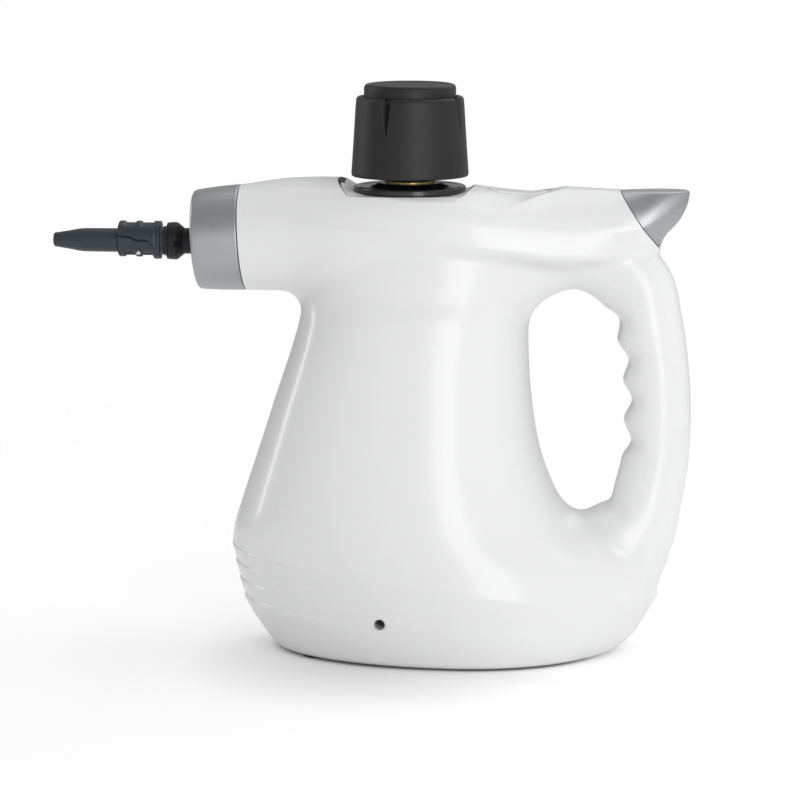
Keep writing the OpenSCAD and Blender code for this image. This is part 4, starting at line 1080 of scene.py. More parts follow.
    def whole(self, p: Array) -> Array:
        """Distance to the housing: pot and handle run together; the barrel's fillet is wide at the front."""
        lower = join(self.pot(p), self.handle(p), self.pot_blend)
        lower = carve(lower, self.floor - p[:, 2], self.floor_round)
        return join(lower, self.barrel(p), self.fillet * (2 - ease(p[:, 0], *self.fillet_span)))

    def slot_gap(self, p: Array) -> Array:
        """Distance outside the button's slot, counted only on the deck."""
        length, width = self.slot_size
        x = np.maximum(np.abs(p[:, 0] - self.button_x) - (length - width) / 2, 0)
        return np.maximum(np.hypot(x, p[:, 1]) - width / 2, 180 - p[:, 2])

    def recess_gap(self, p: Array) -> Array:
        """Distance outside the recess across the barrel: a level floor between two leaning end walls."""
        reach = self.dish_radius + (p[:, 2] - self.recess_low) * self.recess
        return np.maximum((np.abs(p[:, 0]) - reach) * 0.7, self.recess_low - p[:, 2])

    def recess_floor(self, p: Array) -> Array:
        """Moves the recess edge in to a circle just below the dish."""
        turn = p[:, :2] / np.hypot(p[:, 0], p[:, 1])[:, None]
        return np.column_stack([turn * (self.dish_radius - 1.2), np.full(len(p), self.recess_low - 0.1)])

    def gland_gap(self, p: Array) -> Array:
        """Distance outside the cord inlet's hole."""
        q = self.gland.local(p)
        return np.maximum(np.hypot(q[:, 0], q[:, 1]) - self.gland_radius, -20 - q[:, 2])

    def screw_gap(self, p: Array) -> Array:
        """Distance outside the rim of the screw well on the near side."""
        x, z = self.screw
        return np.maximum(np.hypot(p[:, 0] - x, p[:, 2] - z) - self.screw_radius, p[:, 1] + 30)

    def screw_sink(self, p: Array) -> Array:
        """Chamfer of the screw well: its edge drawn in and set back."""
        axis = np.array([self.screw[0], 0, self.screw[1]])
        return (p - axis) * [0.75, 1, 0.75] + axis + [0, 0.8, 0]

    def build(self) -> None:
        """Makes both halves."""
        skin = Skin.find(self.whole, *self.space, self.cell)
        skin.relax(6)
        drops = [k * self.step_pitch for k in range(self.step_count + 1)]
        lines = [lambda p, drop=drop: self.level(p) - self.skirt + drop for drop in drops]
        lines += [lambda p: self.tube(p) - self.deck(p), lambda p: self.tube(p) - self.prow(p)]
        for line in lines:
            skin.part(line, keep_both=True)
        cuts = [
            Cut(lambda p: -p[:, 1] - 0.05),
            Cut(lambda p: np.maximum(-self.ring.local(p)[:, 2] - 0.1, self.ring_low - p[:, 2])),
            Cut(lambda p: np.maximum(-self.tail.local(p)[:, 2] - 0.05, self.tail_low - p[:, 2])),
            Cut(self.recess_gap, self.recess_floor),
            Cut(self.slot_gap, lambda p: p - [0, 0, self.slot_drop]),
            Cut(self.gland_gap),
        ]
        for cut in cuts:
            skin.part(cut.side)
        right = skin.mirrored().shell([cut.mirrored() for cut in cuts], self.wall)
        well = Cut(self.screw_gap, self.screw_sink)
        skin.part(well.side)
        left = skin.shell([*cuts, well], self.wall)
        bore = refine(soften([(2.25, 12), (4.4, 12), (4.4, 53.6), (2.25, 54.7)], 0.2), 6)
        boss = revolve(bore, turns=40)
        x, y, z = boss.points.T
        boss.points = np.stack([x + self.screw[0], -z, y + self.screw[1]], axis=1)
        self.fit("near_half", "left_shell", [left, boss], ["white_gloss"])
        self.fit("far_half", "right_shell", [right], ["white_gloss"])


@dataclass
class Fitting(Unit):
    """A group of pieces on the housing.

    Attributes:
        housing: gives the shapes that they meet
    """

    housing: Housing


@dataclass
class Tail(Fitting):
    """Silver tail that ends the barrel, with a crease between its side and its hollow underside.

    Attributes:
        wall: thickness of the cover
        gap: joint towards the housing
        top: height of its flat top
        cell: spacing of the skin's points
        quick_cell: meant as their spacing in a quick build; not used
        space: corners of the space that holds it
    """

    wall: float = 1.5
    gap: float = 0.3
    top: float = 194.0
    cell: float = 0.75
    quick_cell: float = 1.4
    space: tuple = ((82, -21, 160), (120, 21, 197))

    def build(self) -> None:
        """Makes the tail from the barrel's skin behind its joint."""
        home = self.housing

        def body(p: Array) -> Array:
            """Distance to the barrel's end without the fillet to the handle."""
            return carve(carve(home.tube(p), p[:, 2] - self.top, 0.8), home.prow(p), 0.9)

        def crease(p: Array) -> Array:
            """Zero where the side meets the hollow underside."""
            return home.tube(p) - home.prow(p)

        skin = Skin.find(body, *self.space, self.cell)
        skin.relax(4)
        skin.part(crease, keep_both=True)
        joint = Cut(lambda p: home.tail.local(p)[:, 2] - self.gap)
        skin.part(joint.side)
        self.fit("tail_cover", "rear_trim", [skin.shell([joint], self.wall)], ["silver_trim"])


# Nose and nozzle


@dataclass
class Nose(Fitting):
    """Silver ring, black outlet, locking collar and jet tube.

    Attributes:
        nozzle: axis of the outlet, with local Z towards the tip
        head_front: front of the bayonet head
        collar_back: rear end of the collar
        collar_front: front end of the collar
        collar_radius: of its plain wall
        tip: end of the jet tube
        boss_turns: where the locking bosses stand around the axis, in degrees
        ramp_rows: lower edge of the collar's raised panel, in degrees by the place along the axis
    """

    nozzle: Axle = Axle((0, 0, 170.6), -90)
    head_front: float = 102.2
    collar_back: float = 105.0
    collar_front: float = 122.8
    collar_radius: float = 7.0
    tip: float = 150.7
    boss_turns: tuple = (219.0, 39.0)
    ramp_rows: Rows = Rows((
        (104, -99), (107.9, -95), (108.3, -58), (108.8, -14), (109.4, 2), (110.2, 7), (113, 8.3), (115, 8.8),
        (115.8, 12), (116.8, 18), (117.7, 21), (120, 23.5), (123.2, 26)))

    def build(self) -> None:
        """Makes the four pieces."""
        self.build_ring()
        self.build_outlet()
        self.build_collar()
        self.build_jet()

    def build_ring(self) -> None:
        """Ring: a slightly barrelled cone with a rolled front edge; its hole lies on the nozzle axis."""
        outline = [(22.2, 0.25), (21.85, 8), (21.2, 16), (20.75, 19.3), (19.9, 20.2), (8.25, 20.2),
                   (8.25, 18.5), (18.6, 18.4), (20.2, 0.25)]
        axle = self.housing.ring
        patch = revolve(refine(soften(outline, 0.7, 5), 1.6), axle, turns=144)
        q = axle.local(patch.points)
        share = 1 - ease(np.hypot(q[:, 0], q[:, 1]), 9, 17)
        rise = self.nozzle.origin[2] - axle.place(np.array([0, 0, 20.2]))[2]
        patch.points = patch.points + np.outer(share * rise, [0, 0, 1])
        self.fit("silver_ring", "nose_ring", [patch], ["silver_trim"])

    def build_outlet(self) -> None:
        """Outlet: flange in the ring, neck, and a bayonet head with a stepped key and a square window."""
        front = self.head_front
        outline = [(1.8, 60), (4.5, 60), (4.5, 84), (16.5, 84.3), (16.5, 86.4), (5.4, 86.6), (5.4, 95.1),
                   (7.75, 98.0), (7.85, 98.4), (7.85, front - 1.1), (7.5, front - 1.0), (7.5, front - 0.6),
                   (7.8, front - 0.5), (7.7, front), (6.1, front), (6.1, front - 4), (1.8, front - 4)]

        def key(a: Array, r: Array, z: Array) -> tuple[Array, Array]:
            """Sinks a band with a deeper window at its rear into the near and the far side."""
            rise = np.cos(a) * 7.85
            band = between(rise, -1.9, -1.7, 0.0, 0.2) * between(z, 96.4, 96.7, front - 1.5, front - 1.2)
            window = between(rise, -1.3, -1.1, 0.3, 0.5) * between(z, 96.2, 96.4, 98.4, 98.6)
            return r - (0.35 * band + 1.2 * window) * ease(r, 5.9, 6.2), z

        patch = revolve(refine(soften(outline, 0.2), 0.35), self.nozzle, turns=240, shape=key)
        self.fit("outlet_head", "outlet_connector", [patch], ["black_matt"])

    def build_collar(self) -> None:
        """Collar: a panel above an S-shaped groove on each side, lumps on back and belly, and two windows.

        Each window has a slanting bar across it and a bright locking boss behind the bar.
        """
        back, front, r0, seat = self.collar_back, self.collar_front, self.collar_radius, self.head_front
        outline = [(1.8, seat - 3.8), (5.8, seat - 3.8), (5.8, seat + 0.9), (6.3, seat + 1.0),
                   (6.3, seat + 1.4), (5.8, seat + 1.5), (5.8, back - 0.1), (r0, back), (r0, front),
                   (5.25, front), (5.25, 105.5), (1.8, 105.5)]

        def ramp(a: Array, r: Array, z: Array) -> tuple[Array, Array]:
            """Adds panel, groove, lumps and windows to the outer wall, by the angle from the top."""
            outer = ease(r, 6.55, 6.9)
            near = np.degrees(np.arcsin(np.clip(np.cos(a), -1, 1)))
            raised = ease(near - self.ramp_rows.at(z), -2.0, 2.0)
            tall = ease(np.abs(near), 42, 58)
            lump = sum(tall * np.exp(-((z - place) / half) ** 8) for place, half in
                       ((back + 1.4, 1.35), (back + 9.2, 1.3), (front - 1.5, 1.4)))
            rear = np.exp(-((z - back - 0.7) / 0.75) ** 8) + np.exp(-((z - back - 2.6) / 0.4) ** 4)
            slot = np.zeros_like(r)
            for start in self.boss_turns:
                turn = np.degrees(np.angle(np.exp(1j * (a - math.radians(start)))))
                bar = 1 - ease(np.abs(z - 116.9 + turn * 0.072), 0.4, 0.7)
                window = between(turn, -26, -24, 11, 13) * between(z, 108.7, 109.1, 119.7, 120.1)
                slot = np.maximum(slot, window * (1 - bar))
            line = np.exp(-((near - self.ramp_rows.at(z) + 3.5) / 2.4) ** 2) * ease(z, 109.5, 111)
            wall = 0.85 * raised - 0.85 + 0.7 * np.clip(lump + 0.45 * rear, 0, 1) - 0.6 * line
            return r + outer * (wall * (1 - slot) - 1.5 * slot + 0.6 * ease(near, 5, 60)), z

        patch = revolve(refine(soften(outline, 0.3), 0.35), self.nozzle, turns=288, shape=ramp)
        dome = soften([(0, 4.9), (1.2, 4.9), (1.2, 6.3), (0.8, 6.9), (0, 7.05)], 0.3)
        bosses = [self.radial(dome, start, 114.2, 1) for start in self.boss_turns]
        self.fit("locking_collar", "nozzle_collar", [patch, *bosses], ["slate_plastic", "bright_steel"])

    def radial(self, profile: Array, turn: float, along: float, finish: int = 0) -> Patch:
        """Small turned form that stands out from the nozzle axis.

        Args:
            profile: closed outline as radius and distance from the nozzle axis
            turn: where it stands around the axis, in degrees from the top
            along: where it stands along the axis
            finish: which of the piece's finishes it wears

        Returns:
            the closed surface
        """
        patch = revolve(profile, finish=finish, turns=32)
        x, y, z = patch.points.T
        c, s = math.cos(math.radians(turn)), math.sin(math.radians(turn))
        patch.points = self.nozzle.place(np.stack([z * c - y * s, z * s + y * c, x + along], axis=1))
        return patch

    def build_jet(self) -> None:
        """Jet tube: a long taper to a rolled tip, mould lines along both sides and two round lugs."""
        tip = self.tip
        outline = [(1.7, 107.1), (4.85, 107.1), (4.85, 122.0), (4.95, 123.0), (5.0, 124.0), (4.92, 137),
                   (4.7, 139.8), (3.9, 144), (3.1, tip - 1.6), (2.95, tip - 0.5), (2.5, tip), (1.35, tip),
                   (1.1, tip - 0.6), (1.1, 139), (1.7, 137)]

        def lines(a: Array, r: Array, z: Array) -> tuple[Array, Array]:
            """A fine mould line stands along the near and the far side."""
            line = np.exp(-(np.sin(a - sides[0]) * r / 0.16) ** 2) * ease(z, 123.8, 125) * ease(r, 3.1, 3.4)
            return r + 0.12 * line, z

        sides = (0.5 * math.pi, 1.5 * math.pi)
        dense = np.concatenate([side + np.linspace(-0.14, 0.14, 15) for side in sides])
        angle = np.union1d(np.linspace(0, FULL_TURN, 97), dense)
        tube = revolve(refine(soften(outline, 0.6, 5), 1.2), self.nozzle, turns=angle, shape=lines)
        pin = soften([(0, 3.6), (1.3, 3.6), (1.3, 4.95), (0.9, 5.1), (0, 5.12)], 0.2)
        lugs = [self.radial(pin, turn, 113.5) for turn in (0, 180)]
        self.fit("jet_tube_form", "jet_nozzle", [tube, *lugs], ["slate_plastic"], Body.JET)


# Filler and cap


@dataclass
class Filler(Fitting):
    """Glossy dish in the recess, brass neck, and the press-and-turn cap.

    Attributes:
        cap_low: height of the cap's lower edge
        shoulder: height of the cap's shoulder
        cap_top: height of the press disc
        notches: number of grip notches
        notch_turn: where the first notch lies, in degrees
        notch_length: how far a notch runs down from the shoulder
        notch_half: half width of a notch at the shoulder
        notch_depth: depth of a notch at the shoulder
        thread_pitch: height of one turn of the plug's thread
    """

    cap_low: float = 199.0
    shoulder: float = 232.2
    cap_top: float = 237.4
    notches: int = 4
    notch_turn: float = 250.5
    notch_length: float = 15.5
    notch_half: float = 2.7
    notch_depth: float = 3.8
    thread_pitch: float = 3.2

    def build(self) -> None:
        """Makes dish, neck, plug and cap."""
        self.build_dish()
        self.build_neck()
        self.build_plug()
        self.build_cap()
        self.build_disc()

    def build_dish(self) -> None:
        """Dish: a flat rim, a shallow groove and a slope up to the hub, with dark grey slabs on the recess
        walls whose grey also stands in for the shade there.
        """
        home = self.housing
        z = home.dish_height
        outline = [(10.75, z - 0.4), (23.3, z - 0.6), (23.5, z), (23.45, z + 1.9), (22.7, z + 2.5),
                   (21.2, z + 2.4), (20.2, z + 2.0), (17.5, z + 2.2), (14.3, z + 3.2), (13.2, z + 3.6),
                   (11.0, z + 3.6), (10.75, z + 3.3)]
        dish = revolve(refine(soften(outline, 0.5), 1.0), turns=128)
        # Dark grey slabs on the recess walls: a grey part that also stands in for the shade under the cap.
        painted_shade_linings = [self.painted_shade_lining(side) for side in (-1, 1)]
        self.fit("filler_dish_form", "filler_dish", [dish, *painted_shade_linings], ["black_gloss", "recess_grey"])

    def painted_shade_lining(self, side: int) -> Patch:
        """Thin dark grey slab on one leaning end wall of the recess, up to just below the housing's surface;
        it also paints the shade that falls on the wall under the cap.

        Args:
            side: -1 for the wall towards the nose, 1 for the other

        Returns:
            the closed surface
        """
        home = self.housing

        def wall_top(y: Array) -> Array:
            """Height of the housing's surface above the recess floor along the wall, found by halving."""
            low, high = np.zeros_like(y), np.full_like(y, 9.0)
            for _ in range(26):
                half = (low + high) / 2
                x = side * (home.dish_radius + half * home.recess)
                inside = home.whole(np.column_stack([x, y, home.recess_low + half])) <= 0
                low, high = np.where(inside, half, low), np.where(inside, high, half)
            return low

        across = np.linspace(0, 25, 251)
        end = across[wall_top(across) > 0.4].max()
        y = np.linspace(-end, end, 101)
        rise = np.maximum(wall_top(y) - 0.15, 0.02)[:, None]
        height = rise * np.array([0.0, 0.34, 0.67, 1.0, 1.0, 0.67, 0.34, 0.0, 0.0])
        inset = np.array([0.1, 0.1, 0.1, 0.1, 0.4, 0.4, 0.4, 0.4, 0.1])
        x = side * (home.dish_radius + height * home.recess - inset)
        wall = np.stack([x, np.broadcast_to(y[:, None], x.shape), home.recess_low + height], axis=-1)
        wall[[0, -1]] = wall[[0, -1]].mean(1, keepdims=True)
        return grid(wall, 1)

    def build_neck(self) -> None:
        """Neck: a turned brass tube with a foot flange and a fine lip in the dish's hub."""
        outline = [(8, 114), (11.9, 114), (11.9, 126), (15, 126), (15, 129), (12.5, 129), (12.5, 190.9),
                   (10.65, 191.1), (10.65, 196.3), (10.1, 196.3), (10.1, 174), (8, 174)]
        neck = revolve(refine(soften(outline, 0.25), 4), turns=96)
        self.fit("brass_neck", "filler_neck", [neck], ["brass"])

    def build_plug(self) -> None:
        """Plug: a brass stem with a helical thread that fades at both ends, bored for the relief valve."""
        outline = [(1.6, 176.4), (9.1, 176.4), (9.1, 197), (9.7, 197.2), (9.7, 203), (3.5, 203), (3.5, 180),
                   (1.6, 180)]

        def thread(a: Array, r: Array, z: Array) -> tuple[Array, Array]:
            """Adds a ridge whose height is a wave of height minus the turn's share of the pitch."""
            wave = np.clip(0.5 + 0.9 * np.cos(FULL_TURN * (z / self.thread_pitch) - a), 0, 1)
            return r + 0.55 * wave * ease(r, 8.8, 9.05) * between(z, 176.8, 179, 194.5, 196.6), z

        plug = revolve(refine(soften(outline, 0.2), 0.35), turns=96, shape=thread)
        # Black matt sleeve over the plug's upper part: a dark part that also stands in for the shade in the
        # band under the cap.
        band = [(9.6, 197.0), (10.3, 197.0), (10.5, 197.6), (10.5, 202.9), (9.6, 202.9)]
        painted_shade_sleeve = revolve(soften(band, 0.2), finish=1, turns=96)
        self.fit("threaded_plug", "cap_plug", [plug, painted_shade_sleeve], ["brass", "black_matt"], Body.CAP_CORE)

    def build_cap(self) -> None:
        """Cap: a slightly hollow cone with a soft shoulder; four V-shaped notches fade out down its side."""
        low, top = self.cap_low, self.shoulder
        outline = [(18.8, low), (23.9, low), (24.4, low + 0.4), (24.45, low + 1.6), (23.6, low + 14),
                   (22.65, top - 3.4), (22.35, top - 0.7), (21.6, top), (19.55, top), (19.5, top - 2.8),
                   (0, top - 2.8), (0, top - 4.8), (20.1, top - 4.8), (20.1, low + 3.8), (18.8, low + 3.8)]
        starts = np.radians(self.notch_turn + 360 / self.notches * np.arange(self.notches)) % FULL_TURN

        def notch(a: Array, r: Array, z: Array) -> tuple[Array, Array]:
            """Sinks the wall by a V whose depth and width grow towards the shoulder."""
            grow = np.clip((z - top + self.notch_length) / self.notch_length, 0, 1)
            half = self.notch_half * np.maximum(grow, 0.02)
            side = np.stack([np.angle(np.exp(1j * (a - s))) for s in starts]) * 22.6
            fall = np.min(np.where(side > 0, side / (0.8 * half), -side / (1.2 * half)), axis=0)
            sink = self.notch_depth * grow ** 0.6 * np.clip(1.15 * (1 - fall), 0, 1)
            return r - sink * ease(r, 20.4, 20.9), z

        dense = np.concatenate([s + np.linspace(-0.13, 0.13, 27) for s in starts]) % FULL_TURN
        angle = np.union1d(np.linspace(0, FULL_TURN, 121), dense)
        cap = revolve(refine(soften(outline, 0.6), 0.9), turns=angle, shape=notch)
        self.fit("cap_grip_form", "cap_shell", [cap], ["charcoal_grain"], Body.CAP_GRIP, crease=28)

    def build_disc(self) -> None:
        """Press disc: upright side, soft edge and a slightly hollow top with a faint ring around it."""
        low, z = self.shoulder - 2.8, self.cap_top
        outline = [(0, low), (19.2, low), (19.2, z - 1.5), (18.7, z - 0.45), (17.6, z), (16.4, z - 0.05),
                   (16.1, z - 0.3), (15.5, z - 0.35), (9, z - 0.55), (0, z - 0.65)]
        disc = revolve(refine(soften(outline, 0.45), 1.2), turns=128)
        self.fit("press_disc", "cap_disc", [disc], ["charcoal_grain"], Body.CAP_GRIP)


# Button, feet and inlet


@dataclass
class Controls(Fitting):
    """Thumb button in its well on the deck.

    Attributes:
        deck: height of the thumb hollow
        length: of the button
        width: of the button
        floor: height of the well's underside
        wall: thickness of the well
        play: gap between button and well, both sides together
    """

    deck: float = 193.6
    length: float = 25.0
    width: float = 15.0
    floor: float = 176.2
    wall: float = 1.8
    play: float = 0.8

    def layered(self, length: float, width: float, layers: Sequence) -> Patch:
        """Closed form of round-ended outlines at given insets and heights.

        Args:
            length: of the outermost outline
            width: of the outermost outline
            layers: pairs of inset and height, from one closed end to the other

        Returns:
            the surface
        """
        inset, height = np.array(layers, dtype=float).T
        x, y = slot_outline(length, width, inset)
        x = x + self.housing.button_x
        flat = np.stack([x, y, np.zeros_like(x)], axis=-1).reshape(-1, 3)
        rise = -self.housing.deck(flat).reshape(x.shape) - self.deck
        z = height[:, None] + rise * ease(height, self.deck - 6, self.deck - 3)[:, None]
        return grid(np.stack([x, y, z], axis=-1))

    def build(self) -> None:
        """Makes the button with its hollow top and stem, and the well around it."""
        top, far = self.deck - 0.1, self.length / 2
        cover = self.layered(self.length, self.width, [
            (far, top - 0.55), (6.5, top - 0.5), (4, top - 0.3), (2, top - 0.08), (1.1, top),
            (0.5, top - 0.15), (0.12, top - 0.5), (0, top - 1.1), (0, top - 7), (1.8, top - 7),
            (1.8, top - 1.8), (5, top - 1.9), (far, top - 2)])
        outline = [(0, 173.9), (1.1, 173.9), (2.4, 175.6), (2.4, top - 1.9), (0, top - 1.9)]
        stem = revolve(refine(soften(outline, 0.2), 3), Axle((self.housing.button_x, 0, 0)), turns=40)
        self.fit("thumb_button", "steam_button", [cover, stem], ["white_gloss"], Body.BUTTON)
        rim, floor, wall = self.deck - 0.35, self.floor, self.wall
        more = self.play + 2 * wall
        well = self.layered(self.length + more, self.width + more, [
            (0, floor + 0.3), (0, rim - 0.3), (0.3, rim), (wall - 0.3, rim), (wall, rim - 0.3),
            (wall, floor + 2.0), (wall + 0.3, floor + 1.8), (7, floor + 1.8), (7, floor), (0.3, floor),
            (0, floor + 0.3)])
        self.fit("button_guide", "button_well", [well], ["white_gloss"])


@dataclass
class SmallParts(Fitting):
    """Rubber feet and the cord inlet's bush.

    Attributes:
        feet: places of the feet
        foot_radius: of each foot
    """

    feet: tuple = ((-36, -28), (-36, 28), (62, -28), (62, 28))
    foot_radius: float = 6.0

    def build(self) -> None:
        """Makes the feet with a ring groove, and the bush with its flange and ribs."""
        r = self.foot_radius
        outline = [(0, 0.25), (2.6, 0.25), (3.0, 0), (r - 0.7, 0), (r, 0.6), (r, 2.0), (0, 2.0)]
        feet = [revolve(refine(soften(outline, 0.25), 1.0), Axle((x, y, 0)), turns=56) for x, y in self.feet]
        self.fit("foot_pads", "rubber_feet", feet, ["black_rubber"])
        bush = [(3.5, -9), (5.2, -9), (5.2, -4.7), (6.8, -4.6), (6.8, -2.6), (5.2, -2.5), (5.2, -1.1),
                (4.7, -0.5), (4.0, -0.5), (3.5, -1.0)]
        ring = revolve(refine(soften(bush, 0.3), 0.8), self.housing.gland, turns=72)
        self.fit("inlet_bush", "cord_gland", [ring], ["black_rubber"])


@dataclass
class Springs(Fitting):
    """Round-wire springs between their seats.

    Attributes:
        wire: radius of the wire
    """

    wire: float = 0.6

    def build(self) -> None:
        """Winds each spring between its seats.

        Each row gives the node, the body, coil radius, lower and upper seat, turns, X, the joint that presses
        the spring, its fixed end and the share of its length that is left.
        """
        rows = (
            ("cap_spring", Body.CAP_CORE, 10.0, 206.0, 227.4, 6, 0.0, "cap_press", 206.0, 0.88),
            ("relief_spring", Body.CAP_CORE, 2.3, 183.2, 199.0, 7, 0.0, "relief_lift", 199.0, 0.90),
            ("valve_spring", Body.HOUSING, 3.5, 160.0, 165.1, 3, 31.0, "valve_open", 160.0, 0.70),
            ("button_spring", Body.HOUSING, 4.2, 178.0, 192.0, 5, 45.0, "button_press", 178.0, 0.78),
        )
        for node, body, radius, low, high, turns, x, joint, fixed, keep in rows:
            coil = helix(radius, self.wire, low, high, turns, x)
            piece = self.fit(node + "_wire", node, [coil], ["spring_steel"], body, crease=60)
            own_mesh(piece)


def dress_inner_solids(palette: Palette) -> None:
    """Gives every solid that still shows the finish of its material slot.

    Args:
        palette: the finishes
    """
    slots = {part["node"]: part["material_slot"] for part in frame["record"]["subparts"]}
    for name, solid in frame["nodes"].items():
        if not solid.hide_render:
            solid.data.materials.clear()
            solid.data.materials.append(palette[slots[name]])
            log.info("%s wears %s", name, slots[name])


# Studio


@dataclass
class Studio:
    """Floor, soft lights and the camera.

    Attributes:
        target: what the camera looks at, in the part's frame
        distance: of the camera
        azimuth: of the camera, in degrees to the right of the front
        rise: of the camera, in degrees
        lens: focal length
        film: width of the camera's frame, in millimetres
        table_half: half length of the table's sides
        table_glow: light that the table gives off
        foot: middle of the painted contact shadow's foot outline along X, and its reach to the back, to the
            front and to each side
        foot_power: squareness of that outline
        shadow: X and Y of the soft painted shadow's middle, and its half sizes
        room_soft: soft light of the surroundings
        room_tilt: how much of it comes from the right
        room_face: how much of it comes from the front
        room_front: surroundings in front of the object, as reflections show them
        room_back: surroundings behind it
        room_band: brighter band around the horizon in front
        mirror_tilt: how much brighter the right side is in reflections
    """

    target: tuple = (0.01261, 0.0, 0.10442)
    distance: float = 1.89
    azimuth: float = 6.0
    rise: float = 8.3
    lens: float = 202.5
    film: float = 36.0
    table_half: float = 1.6
    table_glow: float = 0.28
    foot: tuple = (0.0408, 0.058, 0.0805, 0.055)
    foot_power: float = 2.12
    shadow: tuple = (0.006, -0.045, 0.080, 0.094)
    room_soft: float = 0.55
    room_tilt: float = 0.3
    room_face: float = 0.16
    room_front: float = 0.42
    room_back: float = 0.42
    room_band: float = 0.55
    mirror_tilt: float = 0.14

    def away(self, azimuth: float, rise: float, distance: float) -> Vector:
        """Place at an angle and a distance from the target."""
        a, e = math.radians(azimuth), math.radians(rise)
        way = Vector((math.sin(a) * math.cos(e), -math.cos(a) * math.cos(e), math.sin(e)))
        return Vector(self.target) + distance * way

    def aim(self, thing: bpy.types.Object, place: Vector) -> None:
        """Puts a camera or lamp at a place and turns it to the target."""
        thing.location = place
        thing.rotation_euler = (Vector(self.target) - place).to_track_quat("-Z", "Y").to_euler()
        bpy.context.scene.collection.objects.link(thing)

    def build(self) -> None:
        """Sets up the studio. Each lamp's row gives its name, azimuth, rise, distance, size and power."""
        self.build_camera()
        self.build_floor()
        self.build_world()
        lamps = (
            ("tall_softbox", 23, 9, 1.25, (0.45, 0.9), 3.6),
            ("right_softbox", 78, 16, 1.30, (2.0, 1.4), 0.9),
            ("top_softbox", 140, 60, 1.25, (1.4, 1.4), 5.4),
            ("side_strip", -104, 20, 1.1, (0.08, 0.9), 1.8),
        )
        for name, azimuth, rise, distance, size, power in lamps:
            lamp = bpy.data.lights.new(name, "AREA")
            lamp.shape, lamp.size, lamp.size_y, lamp.energy = "RECTANGLE", *size, power
            self.aim(bpy.data.objects.new(name, lamp), self.away(azimuth, rise, distance))

    def build_camera(self) -> None:
        """Camera at the photographed angle."""
        camera = bpy.data.cameras.new("camera")
        camera.lens, camera.sensor_width = self.lens, self.film
        camera.clip_start, camera.clip_end = 0.05, 30.0
        holder = bpy.data.objects.new("camera", camera)
        self.aim(holder, self.away(self.azimuth, self.rise, self.distance))
        bpy.context.scene.camera = holder

    def build_floor(self) -> None:
        """Pale table that holds the object's shadow plus a painted shadow, and fades into the white
        surroundings.
        """
        steps = np.linspace(-self.table_half, self.table_half, 17)
        x, y = np.meshgrid(steps, steps, indexing="ij")
        sheet = grid(np.stack([x, y, np.zeros_like(x)], axis=-1))
        mesh = bpy.data.meshes.new("table")
        mesh.from_pydata(sheet.points.tolist(), [], sheet.faces[0][:, ::-1].tolist())
        table = bpy.data.objects.new("table", mesh)
        bpy.context.scene.collection.objects.link(table)
        bench = Bench("pale_table")
        shader = bench.shader.inputs
        # Painted shadow: darkens the table's colour and its glow around the object.
        painted_shadow = self.painted_table_shadow(bench)
        speck = bench.spread(bench.noise(60, 2.0), 0.84, 0.86)
        bench.feed(shader["Base Color"], bench.tint(speck * painted_shadow, (0, 0, 0), (1, 1, 1)))
        far = bench.node("ShaderNodeVectorMath", {"operation": "LENGTH"}, {0: bench.place}, "Value")
        bench.feed(shader["Alpha"], bench.remap(far, (0.35, 0.9), (1.0, 0.0), smooth=True))
        # The glow is darkened by the same painted shadow.
        glow_with_painted_shadow = (bench.ray("Is Camera Ray") * 0.55 + 0.45) * painted_shadow
        bench.feed(shader["Emission Color"], bench.tint(glow_with_painted_shadow, (0, 0, 0), (1, 1, 1)))
        shader["Emission Strength"].default_value = self.table_glow
        shader["Roughness"].default_value = 1.0
        shader["Specular IOR Level"].default_value = 0.0
        mesh.materials.append(bench.material)

    def painted_table_shadow(self, bench: Bench) -> Shade:
        """Painted shadow on the table: a deep painted contact shadow under the rounded foot outline, and a
        soft one over an ellipse in front of it.

        Args:
            bench: the table's nodes

        Returns:
            the painted shadow, as a factor from 0 to 1
        """
        x, y = (bench.along(bench.place, axis) for axis in "XY")
        middle, back, front, side = self.foot
        lengthways = x - middle
        long = bench.sum("MAXIMUM", lengthways * (1 / back), lengthways * (-1 / front))
        wide = bench.sum("ABSOLUTE", y * (1 / side), 0.0)
        outline = (long ** self.foot_power + wide ** self.foot_power) ** (1 / self.foot_power)
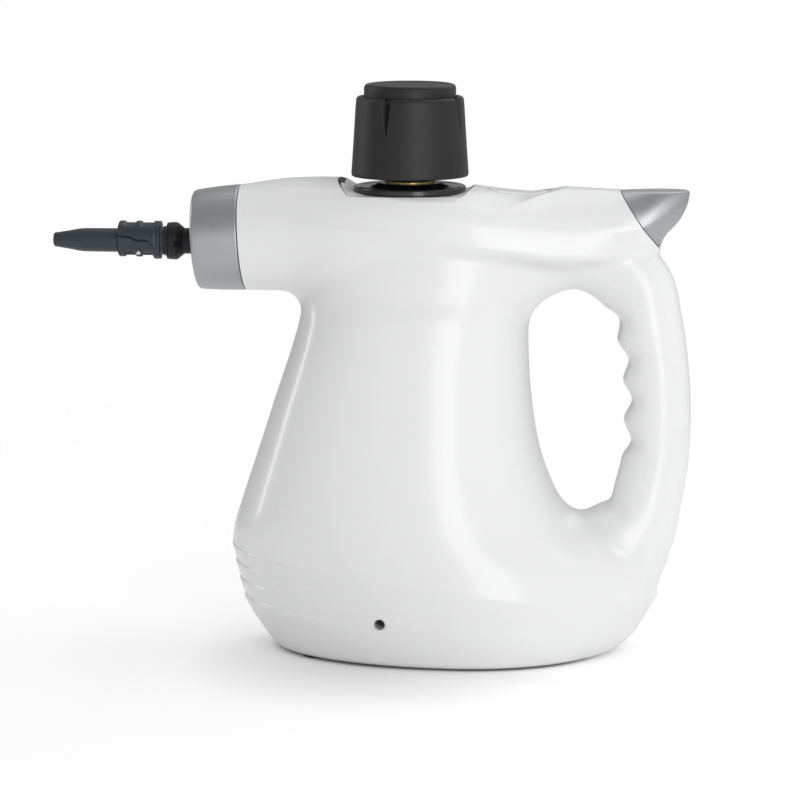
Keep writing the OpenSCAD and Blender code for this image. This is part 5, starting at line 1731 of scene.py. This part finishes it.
        # Painted contact shadow, by the distance from the foot outline.
        painted_contact_shadow = ((0.45, 0.18), (0.475, 0.32), (0.49, 0.65), (0.51, 0.92), (0.55, 1.0))
        shadow_x, shadow_y, half_x, half_y = self.shadow
        around = (((x - shadow_x) * (1 / half_x)) ** 2.0 + ((y - shadow_y) * (1 / half_y)) ** 2.0) ** 0.5
        # Painted soft shadow in front of the object, by the distance from the ellipse's middle.
        soft = ((0.0, 0.70), (0.3, 0.77), (0.6, 0.86), (0.8, 0.93), (1.0, 1.0))
        return bench.ramp(outline * 0.5, painted_contact_shadow) * bench.ramp(around, soft)

    def build_world(self) -> None:
        """White surroundings; they light the object softly and, in reflections, darken towards the front."""
        world = bpy.data.worlds.new("surroundings")
        bpy.context.scene.world = world
        world.use_nodes = True
        bench = Bench("surroundings_sheet", world.node_tree)
        way = bench.node("ShaderNodeTexCoord", output="Generated")
        across, depth, up = (bench.along(way, axis) for axis in "XYZ")
        up = bench.sum("ABSOLUTE", up, 0.0)
        level_band = bench.remap(up, (0.05, 0.5), (self.room_band, 0.0), smooth=True)
        ahead = bench.remap(depth, (-0.8, -0.3), (1.0, 0.0))
        mirror = bench.remap(depth, (-0.1, 0.7), (self.room_front, self.room_back))
        mirror = mirror + level_band * ahead + across * self.mirror_tilt
        seen, glossy = bench.ray("Is Camera Ray"), bench.ray("Is Glossy Ray")
        soft = across * self.room_tilt - depth * self.room_face + self.room_soft
        level = glossy * (mirror - soft) + soft
        bench.feed(bench.shader.inputs["Strength"], seen * (1.0 - level) + level)
        bench.feed(bench.shader.inputs["Color"], (1, 1, 1, 1))


def main() -> None:
    """Builds the studio, then each sub-assembly."""
    logging.basicConfig(level=logging.INFO, format="%(name)s: %(message)s")
    scene = bpy.context.scene
    scene.view_settings.view_transform = "Standard"
    Studio().build()
    palette = Palette()
    housing = Housing(palette)
    housing.build()
    for unit in (Tail, Nose, Filler, Controls, SmallParts, Springs):
        unit(palette, housing).build()
    dress_inner_solids(palette)


if __name__ == "__main__":
    main()
